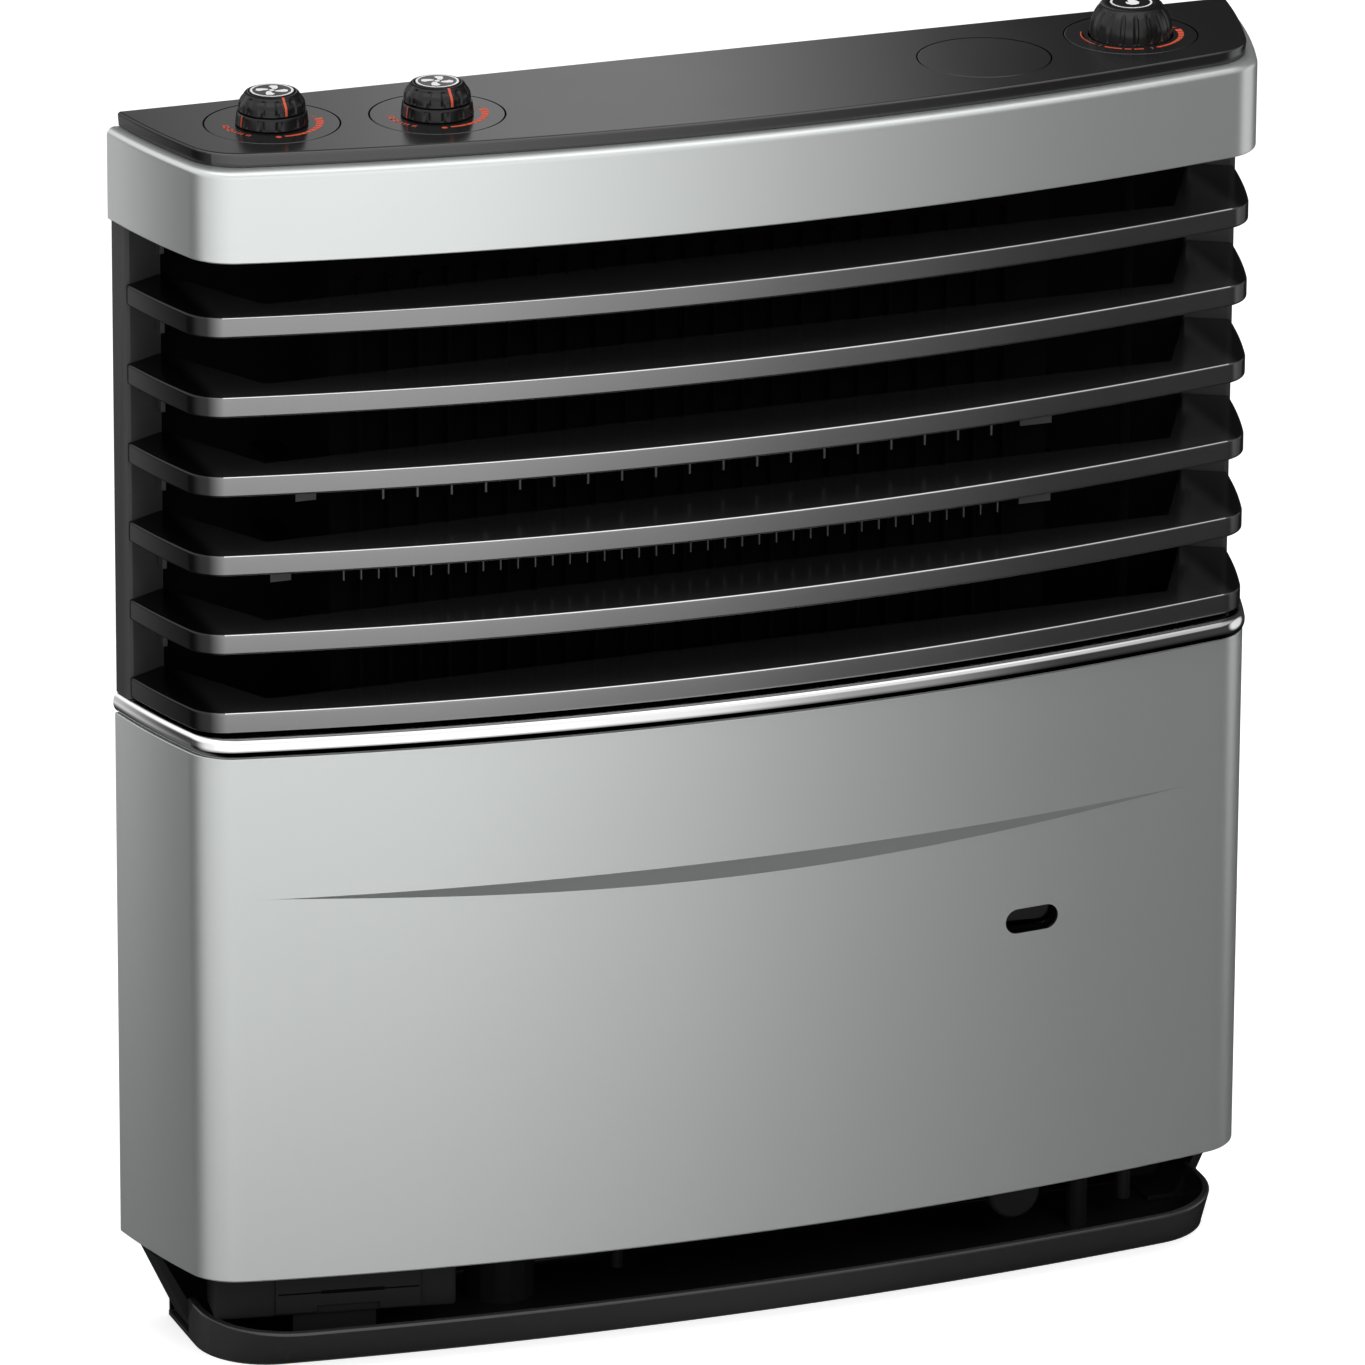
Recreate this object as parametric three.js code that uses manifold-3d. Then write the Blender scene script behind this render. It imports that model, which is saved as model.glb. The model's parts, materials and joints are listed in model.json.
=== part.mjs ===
// Room heater for a caravan, gas fired, in millimetres, +Z up.
// The front faces -Y, the flat back lies towards +Y, and the underside of the foot is at z = 0.
// Pieces are laid out with the back plane at y = 0, and the whole group is then moved forward
// of back by half the casing depth, so that the origin lies under the middle of the casing.

import * as THREE from "three";
import { mergeVertices } from "three/addons/utils/BufferGeometryUtils.js";
import Module from "manifold-3d";

const wasm = await Module();
wasm.setup();

// Driving dimensions

const clearance = 0.3; // gap between pieces that seat on one another
const overrun = 2; // how far a cutting tool runs past the face it leaves
const roundSteps = 4; // facets on a wide rounded edge
const edgeSteps = 2; // facets on a small rounded edge
const bevelSteps = 1; // facets on a small edge that faces down
const sideSteps = 3; // facets on each side of the plan
const cornerSteps = 4; // facets on each front corner of the plan
const frontSteps = 8; // facets on the bowed front of the plan
const discSides = 24; // sides of the large round pieces
const hiddenSides = 14; // sides of round pieces that the casing hides
const stemSides = 12; // sides of stems and bores
const weldGap = 0.0003; // points nearer than this are one point
const leastCorner = 0.4; // smallest corner that an inset plan keeps

const casing = {
  width: 563,
  depth: 110.5,
  frontRadius: 1200,
  backSlope: 0.16, // lean of the sides where they meet the back
  sideRadius: 400,
  cornerRadius: 26,
};
const band = { height: 44.5, wall: 2.4, edgeRadius: 5, flange: 17, flangeThickness: 2.4, lowerBevel: 0.8 };
const topPlate = {
  rise: 6.8,
  sideSet: 6.6,
  frontSet: 6.7,
  cornerRadius: 28,
  thickness: 3.2,
  skirt: 2.5,
  edgeRadius: 1.4,
};
const louver = {
  count: 6,
  pitch: 38.6,
  thickness: 10.3,
  sideSet: 2.5,
  frontSet: 9.2,
  cornerRadius: 20,
  shelf: 3.2,
  lip: 4,
  edgeRadius: 1.3,
  gapAboveTrim: 1.3,
  bladeDepth: 39.3, // from the front of a blade to the opening behind it
  openingSet: 55.5, // from the casing's side to the opening
};
const trim = { height: 9.6, proud: 3, sideSet: 0.1, back: 8 };
const panel = {
  height: 263,
  sideSet: 1,
  frontSet: 5.2,
  wall: 2,
  flange: 8,
  lowerStep: 2.3,
  edgeRadius: 1.2,
};
const crease = { endSet: 49.5, height: 8.2, belowTop: 70.5, leastHeight: 0.6, fullness: 1.5 };
const sightSlot = { rightSet: 135.5, length: 28, height: 12.4, belowTop: 123.8 };
const foot = {
  height: 21,
  gap: 25.2,
  lipSideSet: 18.5,
  lipFrontSet: 6,
  soleSideSet: 6,
  soleFrontSet: 14.5,
  frontRadius: 1780,
  sideRadius: 4000,
  lipCorner: 45,
  soleCorner: 36,
  floor: 2.5,
  wall: 3.2,
  lipRadius: 1.3,
  rimGap: 4, // from the cheeks to the start of the raised lip
};
const cheek = { thickness: 2.5, frontSet: 80.5, topSet: 7.9, ledge: 38, belowPanel: 2.2 };
const post = {
  faceSet: 1.6,
  faceDepth: 12.5,
  edgeWidth: 2.5,
  innerWidth: 23,
  innerDepth: 2.3,
  coreSet: 9.8,
  lugHeight: 12,
  lugDepth: 8,
  clipWidth: 2.2,
  clipDepth: 6,
  clipHeight: 6,
};
const backPanel = { thickness: 1.5, topDrop: 12 };

// Places of the round controls along the top plate
const control = { leftSet: 67, leftSpacing: 76.5, gasSet: 70.5, gasSpacing: 78.5, fromFront: 44.5 };
const inset = { radius: 31.3, thickness: 2.7, seam: 0.45, ledge: 4, ledgeDepth: 2.2, ledgeWall: 2.6 };
const dialRing = {
  radius: 16.9,
  topRadius: 16.2,
  height: 6.3,
  pads: 12,
  notch: 0.8,
  flank: 0.2,
  hub: 6.9,
  rim: 0.9,
};
const dialKnob = {
  radius: 15.6,
  topRadius: 11.6,
  height: 8.6,
  pads: 12,
  notch: 0.7,
  flank: 0.2,
  rim: 0.8,
  padShares: [0.6, 0.83], // how far round the dome the pads bend and end
};
const dialCap = { radius: 10.4, thickness: 0.9, sunk: 0.5 };
const spindle = { radius: 3, bite: 12, socket: 5 };
const switchCan = { radius: 20, height: 20 };
const gasKnob = {
  radius: 19.5,
  topRadius: 14.2,
  rise: 15.6,
  sunk: 2,
  travel: 5,
  pads: 18,
  notch: 0.9,
  flank: 0.25,
  padShares: [0.5, 0.8], // how far round the dome the pads bend and end
  boss: 6,
  roof: 4,
  wall: 2.6,
};
const gasWell = { gap: 0.7, wall: 2, floor: 1.5, stopGap: 0.7 };
const selector = { thickness: 1.5, bore: 9.8, notches: 6 };
const spring = { radius: 8, wire: 1.2, turns: 4, stepsPerTurn: 7, sides: 4 };
const padShare = 0.6; // share of a grip's pitch that the raised pad takes
const rampShare = 0.08; // share of the pitch that a pad's flank takes

const exchanger = {
  leftSet: 91.5,
  rightSet: 113.5,
  backSet: 6,
  topDrop: 56.5,
  wall: 1.6,
  finDepth: 8,
  finThickness: 1.4,
  finPitch: 14.6,
  finEnd: 12,
};
const comb = {
  leftSet: 67.5,
  rightSet: 98.5,
  strip: 7,
  thickness: 1.5,
  tooth: 5,
  toothWidth: 1.3,
  leftMargin: 38,
  rightMargin: 63,
  legWidth: 14,
  behindLouvers: 4.4,
  lowerPitch: 7.3,
  upperPitch: 15,
  lowerRise: 66.9, // from the top of the bright trim
  upperRise: 105.9,
};
const sightTube = { wall: 2, glass: 2, panelGap: 7.4, glassLip: 1.2 };
const burnerBox = { rise: 15, leftSet: 109.5, rightSet: 121.5, extraDepth: 6.2, height: 46, wall: 1.5 };
const burner = { radius: 9, endGap: 38.5, footWidth: 10, footHeight: 12 };
const electrode = { radius: 2.2, x: 40, length: 22, aboveBurner: 14 };
const manifold = { rightSet: 115.5, length: 130, height: 31, depth: 30, frontGap: 34 };
const roundCap = { radius: 13, inset: 16, drop: 27.4, thickness: 9, bevel: 1.5 };
const valve = {
  rise: 5.7,
  rightSet: 43.5,
  length: 52,
  depth: 38,
  height: 46,
  bore: 14,
  neck: 16,
  boss: 9,
  bossHeight: 3,
};
const pipe = { radius: 5, feedRadius: 4, inset: 6, frontInset: 15, bend: 9, hole: 1.5 };
const nipple = { radius: 3.4, inset: 28, frontInset: 10, length: 36 };
const sensor = { radius: 3, sideGap: 82.7, frontInset: 6, length: 46 };
const rod = { radius: 3, guideWidth: 16, guideMargin: 5, guideThickness: 2 };
const duct = { radius: 17, wall: 1.5, inset: 72 };
const flue = { radius: 27.5, wall: 1.5, inset: 80, rise: 150.9, hole: 1.2 };
const igniter = {
  length: 116,
  depth: 24,
  height: 34,
  bottom: 20,
  sideSet: 85.5,
  frontSet: 35.5,
  turn: -0.16,
  wall: 1.8,
  pocketLength: 58,
  pocketHeight: 18,
  pocketX: 6,
  pocketZ: 5,
};
const lid = { length: 70, height: 24, thickness: 1.6, travel: 30, notchLength: 30, notchHeight: 3, lip: 1.4 };
const battery = { radius: 7.1, length: 50.5, nub: 2.6, nubLength: 1.2 };
const stand = { width: 40, depth: 18, thickness: 2 };

// Heights of the stack, from the floor up

const footTop = foot.height;
const panelBottom = footTop + foot.gap;
const panelTop = panelBottom + panel.height;
const trimTop = panelTop + clearance + trim.height;
const louverZone = louver.gapAboveTrim + louver.count * louver.pitch;
const bandBottom = trimTop + louverZone;
const bandTop = bandBottom + band.height;
const plateTop = bandTop + topPlate.rise;
const creaseTop = panelTop - crease.belowTop;
const slotZ = panelTop - sightSlot.belowTop;
const burnerBottom = panelBottom + burnerBox.rise;
const burnerTop = burnerBottom + burnerBox.height;
const exchangerBottom = burnerTop + clearance;
const exchangerTop = bandTop - exchanger.topDrop;
const flueZ = trimTop + flue.rise;
const manifoldTop = burnerBottom - clearance;

// Plan shapes: straight sides that lean in towards the front, two round corners and a bowed front

const halfCasing = casing.width / 2;
const casingPlan = {
  halfWidth: halfCasing,
  depth: casing.depth,
  frontRadius: casing.frontRadius,
  backSlope: casing.backSlope,
  sideRadius: casing.sideRadius,
  cornerRadius: casing.cornerRadius,
};
const platePlan = {
  ...casingPlan,
  halfWidth: halfCasing - topPlate.sideSet,
  depth: casing.depth - topPlate.frontSet,
  cornerRadius: topPlate.cornerRadius,
};
const louverPlan = {
  ...casingPlan,
  halfWidth: halfCasing - louver.sideSet,
  depth: casing.depth - louver.frontSet,
  cornerRadius: louver.cornerRadius,
};
const panelPlan = {
  ...casingPlan,
  halfWidth: halfCasing - panel.sideSet,
  depth: casing.depth - panel.frontSet,
};
const trimPlan = {
  ...casingPlan,
  halfWidth: halfCasing - trim.sideSet,
  depth: panelPlan.depth + trim.proud,
};
const creaseHalf = halfCasing - crease.endSet;
const lowerPanelPlan = flatterPlan(panelPlan, panel.lowerStep, creaseHalf);
const lipPlan = {
  halfWidth: halfCasing - foot.lipSideSet,
  depth: casing.depth - foot.lipFrontSet,
  frontRadius: foot.frontRadius,
  backSlope: 0,
  sideRadius: foot.sideRadius,
  cornerRadius: foot.lipCorner,
};
const solePlan = {
  ...lipPlan,
  halfWidth: lipPlan.halfWidth - foot.soleSideSet,
  depth: lipPlan.depth - foot.soleFrontSet,
  cornerRadius: foot.soleCorner,
};

// Places inside the casing, as distances in front of the back plane and from the middle

const openingHalf = halfCasing - louver.openingSet;
const openingFront = louverPlan.depth - louver.bladeDepth;
const combFront = openingFront - comb.behindLouvers;
const finFront = combFront - comb.thickness - clearance;
const exchangerFront = finFront - exchanger.finDepth;
const exchangerLeft = halfCasing - exchanger.leftSet;
const exchangerRight = halfCasing - exchanger.rightSet;
const burnerBoxFront = exchangerFront + burnerBox.extraDepth;
const burnerLeft = halfCasing - burnerBox.leftSet;
const burnerRight = halfCasing - burnerBox.rightSet;
const burnerMiddle = (exchanger.backSet + burnerBoxFront) / 2;
const slotX = halfCasing - sightSlot.rightSet;
const flueX = flue.inset - exchangerLeft;
const ductX = duct.inset - burnerLeft;
const sensorY = burnerBoxFront - sensor.frontInset;
const capFront = panelPlan.depth - panel.wall - manifold.frontGap;
const manifoldFront = capFront - clearance - roundCap.thickness;
const cheekFront = casing.depth - cheek.frontSet;
const manifoldRight = halfCasing - manifold.rightSet;
const sensorX = manifoldRight - manifold.length - sensor.sideGap;
const valveFront = manifoldFront;
const valveRight = halfCasing - valve.rightSet;
const valveLeft = valveRight - valve.length;
const pipeX = valveLeft + pipe.inset;
const pipeY = valveFront - pipe.frontInset;

// The same plan with its front set back in the middle and unchanged at a given half length
function flatterPlan(plan, setBack, halfLength) {
  const rise = plan.frontRadius - Math.sqrt(plan.frontRadius ** 2 - halfLength ** 2) - setBack;
  return {
    ...plan,
    depth: plan.depth - setBack,
    frontRadius: (halfLength ** 2 + rise ** 2) / (2 * rise),
  };
}

// y of a plan's bowed front at x
function frontY(plan, x) {
  return plan.frontRadius - plan.depth - Math.sqrt(plan.frontRadius ** 2 - x ** 2);
}

// Middle of the arc that a plan's left side follows
function sideCentre(plan) {
  const lean = Math.atan(plan.backSlope);
  const x = plan.sideRadius * Math.cos(lean) - plan.halfWidth;
  return new THREE.Vector2(x, plan.sideRadius * Math.sin(lean));
}

// x of a plan's left side, moved inward, at a distance in front of the back plane
function sideX(plan, inward, back) {
  const middle = sideCentre(plan);
  return middle.x - Math.sqrt((plan.sideRadius - inward) ** 2 - (middle.y + back) ** 2);
}

// Direction from one point to another, as an angle from 0 to a full turn
function angleFrom(middle, point) {
  const fullTurn = 2 * Math.PI;
  return (Math.atan2(point.y - middle.y, point.x - middle.x) + fullTurn) % fullTurn;
}

// Points on an arc from one angle to another, without the first
function arcPoints(middle, radius, from, to, steps) {
  return Array.from({ length: steps }, (_, i) => {
    const angle = from + ((to - from) * (i + 1)) / steps;
    return new THREE.Vector2(Math.cos(angle), Math.sin(angle)).multiplyScalar(radius).add(middle);
  });
}

// Outline of a plan moved inward, from the left end of the back, round the front, to the right end
function planPath(plan, inward, back) {
  const side = sideCentre(plan);
  const front = new THREE.Vector2(0, plan.frontRadius - plan.depth);
  const sideRadius = plan.sideRadius - inward;
  const frontRadius = plan.frontRadius - inward;
  const corner = Math.max(plan.cornerRadius - inward, leastCorner);
  const link = front.clone().sub(side);
  const reach = link.length();
  const along = ((sideRadius - corner) ** 2 - (frontRadius - corner) ** 2 + reach ** 2) / (2 * reach);
  const across = Math.sqrt((sideRadius - corner) ** 2 - along ** 2);
  const centre = side
    .clone()
    .addScaledVector(link, along / reach)
    .addScaledVector(new THREE.Vector2(-link.y, link.x), across / reach);
  const start = new THREE.Vector2(sideX(plan, inward, back), -back);
  const sideAngle = angleFrom(side, centre);
  const frontAngle = angleFrom(front, centre);
  const left = [
    start,
    ...arcPoints(side, sideRadius, angleFrom(side, start), sideAngle, sideSteps),
    ...arcPoints(centre, corner, sideAngle, frontAngle, cornerSteps),
    ...arcPoints(front, frontRadius, frontAngle, (3 * Math.PI) / 2, frontSteps / 2),
  ];
  const right = left
    .slice(0, -1)
    .reverse()
    .map((p) => new THREE.Vector2(-p.x, p.y));
  return [...left, ...right];
}

// Solids

function meshData(geometry) {
  const bare = geometry.index ? geometry.toNonIndexed() : geometry.clone();
  bare.deleteAttribute("normal");
  bare.deleteAttribute("uv");
  return mergeVertices(bare, weldGap);
}

function toSolid(geometry) {
  const merged = meshData(geometry);
  const index = merged.index.array;
  const kept = [];
  for (let i = 0; i < index.length; i += 3) {
    const [a, b, c] = [index[i], index[i + 1], index[i + 2]];
    if (a !== b && b !== c && c !== a) kept.push(a, b, c);
  }
  return new wasm.Manifold(
    new wasm.Mesh({
      numProp: 3,
      vertProperties: merged.attributes.position.array,
      triVerts: new Uint32Array(kept),
    }),
  );
}

function fromSolid(solid) {
  const mesh = solid.getMesh();
  const points = new Float32Array(mesh.numVert * 3);
  for (let i = 0; i < mesh.numVert; i++) {
    points.set(mesh.vertProperties.subarray(i * mesh.numProp, i * mesh.numProp + 3), i * 3);
  }
  const geometry = new THREE.BufferGeometry();
  geometry.setAttribute("position", new THREE.BufferAttribute(points, 3));
  geometry.setIndex(new THREE.BufferAttribute(new Uint32Array(mesh.triVerts), 1));
  return geometry;
}

function join(...pieces) {
  return fromSolid(pieces.map(toSolid).reduce((a, b) => a.add(b)));
}

function cut(body, ...tools) {
  return fromSolid(tools.map(toSolid).reduce((a, b) => a.subtract(b), toSolid(body)));
}

// Surface through closed rings of points, closed at both ends, with its faces turned outward
function loft(rings) {
  const count = rings[0].length;
  const points = rings.flat();
  const faces = [];
  for (let k = 0; k + 1 < rings.length; k++) {
    for (let i = 0; i < count; i++) {
      const a = k * count + i;
      const b = k * count + ((i + 1) % count);
      faces.push(a, b, b + count, a, b + count, a + count);
    }
  }
  const last = (rings.length - 1) * count;
  for (const [a, b, c] of capFaces(rings[0])) faces.push(c, b, a);
  for (const [a, b, c] of capFaces(rings.at(-1))) faces.push(a + last, b + last, c + last);
  let volume = 0;
  for (let i = 0; i < faces.length; i += 3) {
    const [a, b, c] = [points[faces[i]], points[faces[i + 1]], points[faces[i + 2]]];
    volume += a.dot(new THREE.Vector3().crossVectors(b, c));
  }
  if (volume < 0) {
    for (let i = 0; i < faces.length; i += 3) {
      [faces[i], faces[i + 1]] = [faces[i + 1], faces[i]];
    }
  }
  const geometry = new THREE.BufferGeometry().setFromPoints(points);
  geometry.setIndex(faces);
  return geometry;
}

// Triangles of a flat ring, wound the way the ring runs
function capFaces(ring) {
  const normal = new THREE.Vector3();
  ring.forEach((p, i) => {
    const q = ring[(i + 1) % ring.length];
    normal.x += (p.y - q.y) * (p.z + q.z);
    normal.y += (p.z - q.z) * (p.x + q.x);
    normal.z += (p.x - q.x) * (p.y + q.y);
  });
  const size = [Math.abs(normal.x), Math.abs(normal.y), Math.abs(normal.z)];
  const axis = size.indexOf(Math.max(...size));
  const sign = Math.sign(normal.getComponent(axis));
  const [u, v] = [
    ["y", "z"],
    ["z", "x"],
    ["x", "y"],
  ][axis];
  const flat = ring.map((p) => new THREE.Vector2(sign * p[u], p[v]));
  return THREE.ShapeUtils.triangulateShape(flat, []);
}

// Bar of a closed profile of [plan, inward, z] carried round the plan, open at the back
function rim(profile, back) {
  const paths = profile.map(([plan, inward]) => planPath(plan, inward, back));
  const stations = paths[0].map((_, j) =>
    profile.map(([, , z], i) => new THREE.Vector3(paths[i][j].x, paths[i][j].y, z)),
  );
  return loft(stations);
}

// Solid whose level outlines are [plan, inward, z, back]
function slab(levels) {
  return loft(
    levels.map(([plan, inward, z, back]) =>
      planPath(plan, inward, back).map((p) => new THREE.Vector3(p.x, p.y, z)),
    ),
  );
}

function box(x0, x1, y0, y1, z0, z1) {
  const geometry = new THREE.BoxGeometry(x1 - x0, y1 - y0, z1 - z0);
  return geometry.translate((x0 + x1) / 2, (y0 + y1) / 2, (z0 + z1) / 2);
}

// Upright cylinder between two heights
function upright(radius, x, y, z0, z1, sides) {
  const geometry = new THREE.CylinderGeometry(radius, radius, z1 - z0, sides);
  return geometry.rotateX(Math.PI / 2).translate(x, y, (z0 + z1) / 2);
}

// Cylinder that lies along y
function plug(radius, x, z, y0, y1, sides) {
  return new THREE.CylinderGeometry(radius, radius, y1 - y0, sides).translate(x, (y0 + y1) / 2, z);
}

// Turned solid about the upright axis from points of [radius, z]
function turned(profile, sides) {
  const points = profile.map(([r, z]) => new THREE.Vector2(r, z));
  return loftTurned(points, sides);
}

function loftTurned(points, sides) {
  const onAxis = points[0].x === 0;
  const closed = onAxis ? points : [...points, points[0]];
  const geometry = new THREE.LatheGeometry(closed, sides).rotateX(Math.PI / 2);
  return outward(geometry);
}

// The same geometry with its faces turned outward
function outward(geometry) {
  const merged = meshData(geometry);
  const p = merged.attributes.position;
  const index = merged.index.array;
  const corners = [0, 1, 2].map(() => new THREE.Vector3());
  let volume = 0;
  for (let i = 0; i < index.length; i += 3) {
    corners.forEach((corner, k) => corner.fromBufferAttribute(p, index[i + k]));
    volume += corners[0].dot(new THREE.Vector3().crossVectors(corners[1], corners[2]));
  }
  if (volume < 0) {
    for (let i = 0; i < index.length; i += 3) {
      [index[i], index[i + 1]] = [index[i + 1], index[i]];
    }
  }
  return merged;
}

// Upright solid from an outline of [x, y]
function extruded(outline, z0, z1) {
  return loft([z0, z1].map((z) => outline.map(([x, y]) => new THREE.Vector3(x, y, z))));
}

// Solid along y from an outline of [x, z]
function extrudedBack(outline, y0, y1) {
  return loft([y0, y1].map((y) => outline.map(([x, z]) => new THREE.Vector3(x, y, z))));
}

// Points of a quarter round in a profile, from one angle to another
function arc(centreA, centreB, radius, from, to, steps) {
  const points = [];
  for (let i = 0; i <= steps; i++) {
    const angle = from + ((to - from) * i) / steps;
    points.push([centreA + radius * Math.cos(angle), centreB + radius * Math.sin(angle)]);
  }
  return points;
}

// Round tube along points that keep to one y, with straight runs between them
function tube(points, radius, sides) {
  const rings = points.map((point, i) => {
    const before = points[Math.max(i - 1, 0)];
    const after = points[Math.min(i + 1, points.length - 1)];
    const along = after.clone().sub(before).normalize();
    const across = new THREE.Vector3().crossVectors(along, new THREE.Vector3(0, 1, 0)).normalize();
    const up = new THREE.Vector3().crossVectors(across, along);
    return Array.from({ length: sides }, (_, k) => {
      const angle = (2 * Math.PI * k) / sides;
      return point
        .clone()
        .addScaledVector(across, radius * Math.cos(angle))
        .addScaledVector(up, radius * Math.sin(angle));
    });
  });
  return loft(rings);
}

// Grip with raised pads: levels of [radius, notch depth, z]
function grip(levels, pads) {
  const pitch = (2 * Math.PI) / pads;
  return loft(
    levels.map(([radius, notch, z]) =>
      Array.from({ length: pads }, (_, i) => [
        [i * pitch, radius],
        [(i + padShare) * pitch, radius],
        [(i + padShare + rampShare) * pitch, radius - notch],
        [(i + 1 - rampShare) * pitch, radius - notch],
      ])
        .flat()
        .map(([angle, r]) => new THREE.Vector3(r * Math.cos(angle), r * Math.sin(angle), z)),
    ),
  );
}

// Materials

function finish(color, roughness, metalness) {
  return new THREE.MeshStandardMaterial({ color, roughness, metalness });
}
const silverPaint = finish(0xc3c6c4, 0.38, 0.55);
const blackPlastic = finish(0x1c1c1d, 0.42, 0);
const glossBlack = finish(0x131314, 0.22, 0);
const chromePlate = finish(0xe6e8ea, 0.08, 1);
const darkSteel = finish(0x2b2b2c, 0.55, 0.6);
const bareSteel = finish(0x8e9091, 0.4, 0.9);
const clearGlass = finish(0x40484a, 0.05, 0);
const capBlack = finish(0x151516, 0.18, 0);
const ceramic = finish(0xd9d6cc, 0.5, 0);

const heater = new THREE.Group();
heater.name = "caravan_gas_heater";
const body = new THREE.Group();
body.position.y = casing.depth / 2;
heater.add(body);

function add(name, geometry, material, parent = body) {
  const mesh = new THREE.Mesh(geometry, material);
  mesh.name = name;
  mesh.geometry.computeVertexNormals();
  parent.add(mesh);
  return mesh;
}

// Casing

// Silver band round the top, with a flange that carries the black plate
function topBand() {
  const { wall, edgeRadius: r, flange, flangeThickness: t, lowerBevel: bevel } = band;
  const outer = arc(r, bandTop - r, r, Math.PI, Math.PI / 2, roundSteps);
  const profile = [
    [wall, bandBottom],
    [bevel, bandBottom],
    [0, bandBottom + bevel],
    ...outer,
    [flange, bandTop],
    [flange, bandTop - t],
    [r, bandTop - t],
    [wall, bandTop - r],
  ];
  return rim(
    profile.map(([inward, z]) => [casingPlan, inward, z]),
    0,
  );
}

const leftDialX = control.leftSet - halfCasing;
const gasDialX = halfCasing - control.gasSet;
const controls = [
  ["left_dial", leftDialX],
  ["second_dial", leftDialX + control.leftSpacing],
  ["blank", gasDialX - control.gasSpacing],
  ["gas_dial", gasDialX],
].map(([name, x]) => ({ name, x, y: frontY(platePlan, x) + control.fromFront }));

// Black plate: a shallow lid with four round openings, each with a ledge that carries its inset
function controlPlate() {
  const { edgeRadius: r, thickness, skirt } = topPlate;
  const underside = bandTop + clearance;
  const edge = arc(r, plateTop - r, r, Math.PI, Math.PI / 2, edgeSteps);
  const levels = [
    [platePlan, skirt, plateTop - thickness, skirt],
    [platePlan, skirt, underside, skirt],
    [platePlan, 0, underside, 0],
    ...edge.map(([inward, z]) => [platePlan, inward, z, 0]),
  ];
  const opening = inset.radius + inset.seam;
  const ledgeTop = plateTop - inset.thickness - clearance;
  const ledgeBottom = ledgeTop - inset.ledgeDepth;
  const rings = controls.map(({ x, y }) =>
    upright(opening + inset.ledgeWall, x, y, ledgeBottom, ledgeTop, hiddenSides),
  );
  const bores = controls.flatMap(({ x, y }) => [
    upright(opening, x, y, ledgeTop, plateTop + overrun, discSides),
    upright(inset.radius - inset.ledge, x, y, ledgeBottom - overrun, plateTop, hiddenSides),
  ]);
  return cut(join(slab(levels), ...rings), ...bores);
}

// Round disc that fills one opening of the plate
function dialInset(bore) {
  const top = plateTop;
  const under = plateTop - inset.thickness;
  const profile = bore
    ? [
        [bore, under],
        [inset.radius, under],
        [inset.radius, top],
        [bore, top],
      ]
    : [
        [0, under],
        [inset.radius, under],
        [inset.radius, top],
        [0, top],
      ];
  return turned(profile, discSides);
}

// Outline of the left rear post between the louvers, moved outward: a face at the side, a narrow
// edge at the front, and a face that slants inward and back
function postFace(gap) {
  const { faceSet, faceDepth, edgeWidth, innerWidth, innerDepth } = post;
  const outer = sideX(casingPlan, faceSet, faceDepth);
  const inner = innerWidth + faceSet - halfCasing;
  return [
    [sideX(casingPlan, faceSet, 0) - gap, 0],
    [outer - gap, -faceDepth - gap],
    [outer + edgeWidth + gap, -faceDepth - gap],
    [inner, -innerDepth - gap],
  ];
}

// Louver: a bowed shelf with a deeper front lip, and two arms that reach back to the rear posts
function louverBlade(index) {
  const top = bandBottom - louver.pitch * (index + 1) + louver.thickness;
  const bottom = top - louver.thickness;
  const r = louver.edgeRadius;
  const lower = arc(r, bottom + r, r, (3 * Math.PI) / 2, Math.PI, bevelSteps);
  const upper = arc(r, top - r, r, Math.PI, Math.PI / 2, edgeSteps);
  const depth = louver.bladeDepth + overrun;
  const profile = [
    [louver.lip, bottom],
    ...lower,
    ...upper,
    [depth, top],
    [depth, top - louver.shelf],
    [louver.lip, top - louver.shelf],
  ];
  const blade = rim(
    profile.map(([inward, z]) => [louverPlan, inward, z]),
    0,
  );
  const [rear, ...face] = postFace(clearance);
  const outside = -halfCasing - overrun;
  const left = [[outside, overrun], [outside, rear[1] - post.faceDepth - clearance], ...face];
  const opening = [...left, [-openingHalf, -openingFront]];
  const right = opening.map(([x, y]) => [-x, y]).reverse();
  return cut(blade, extruded([...opening, ...right], bottom - overrun, top + overrun));
}

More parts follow.
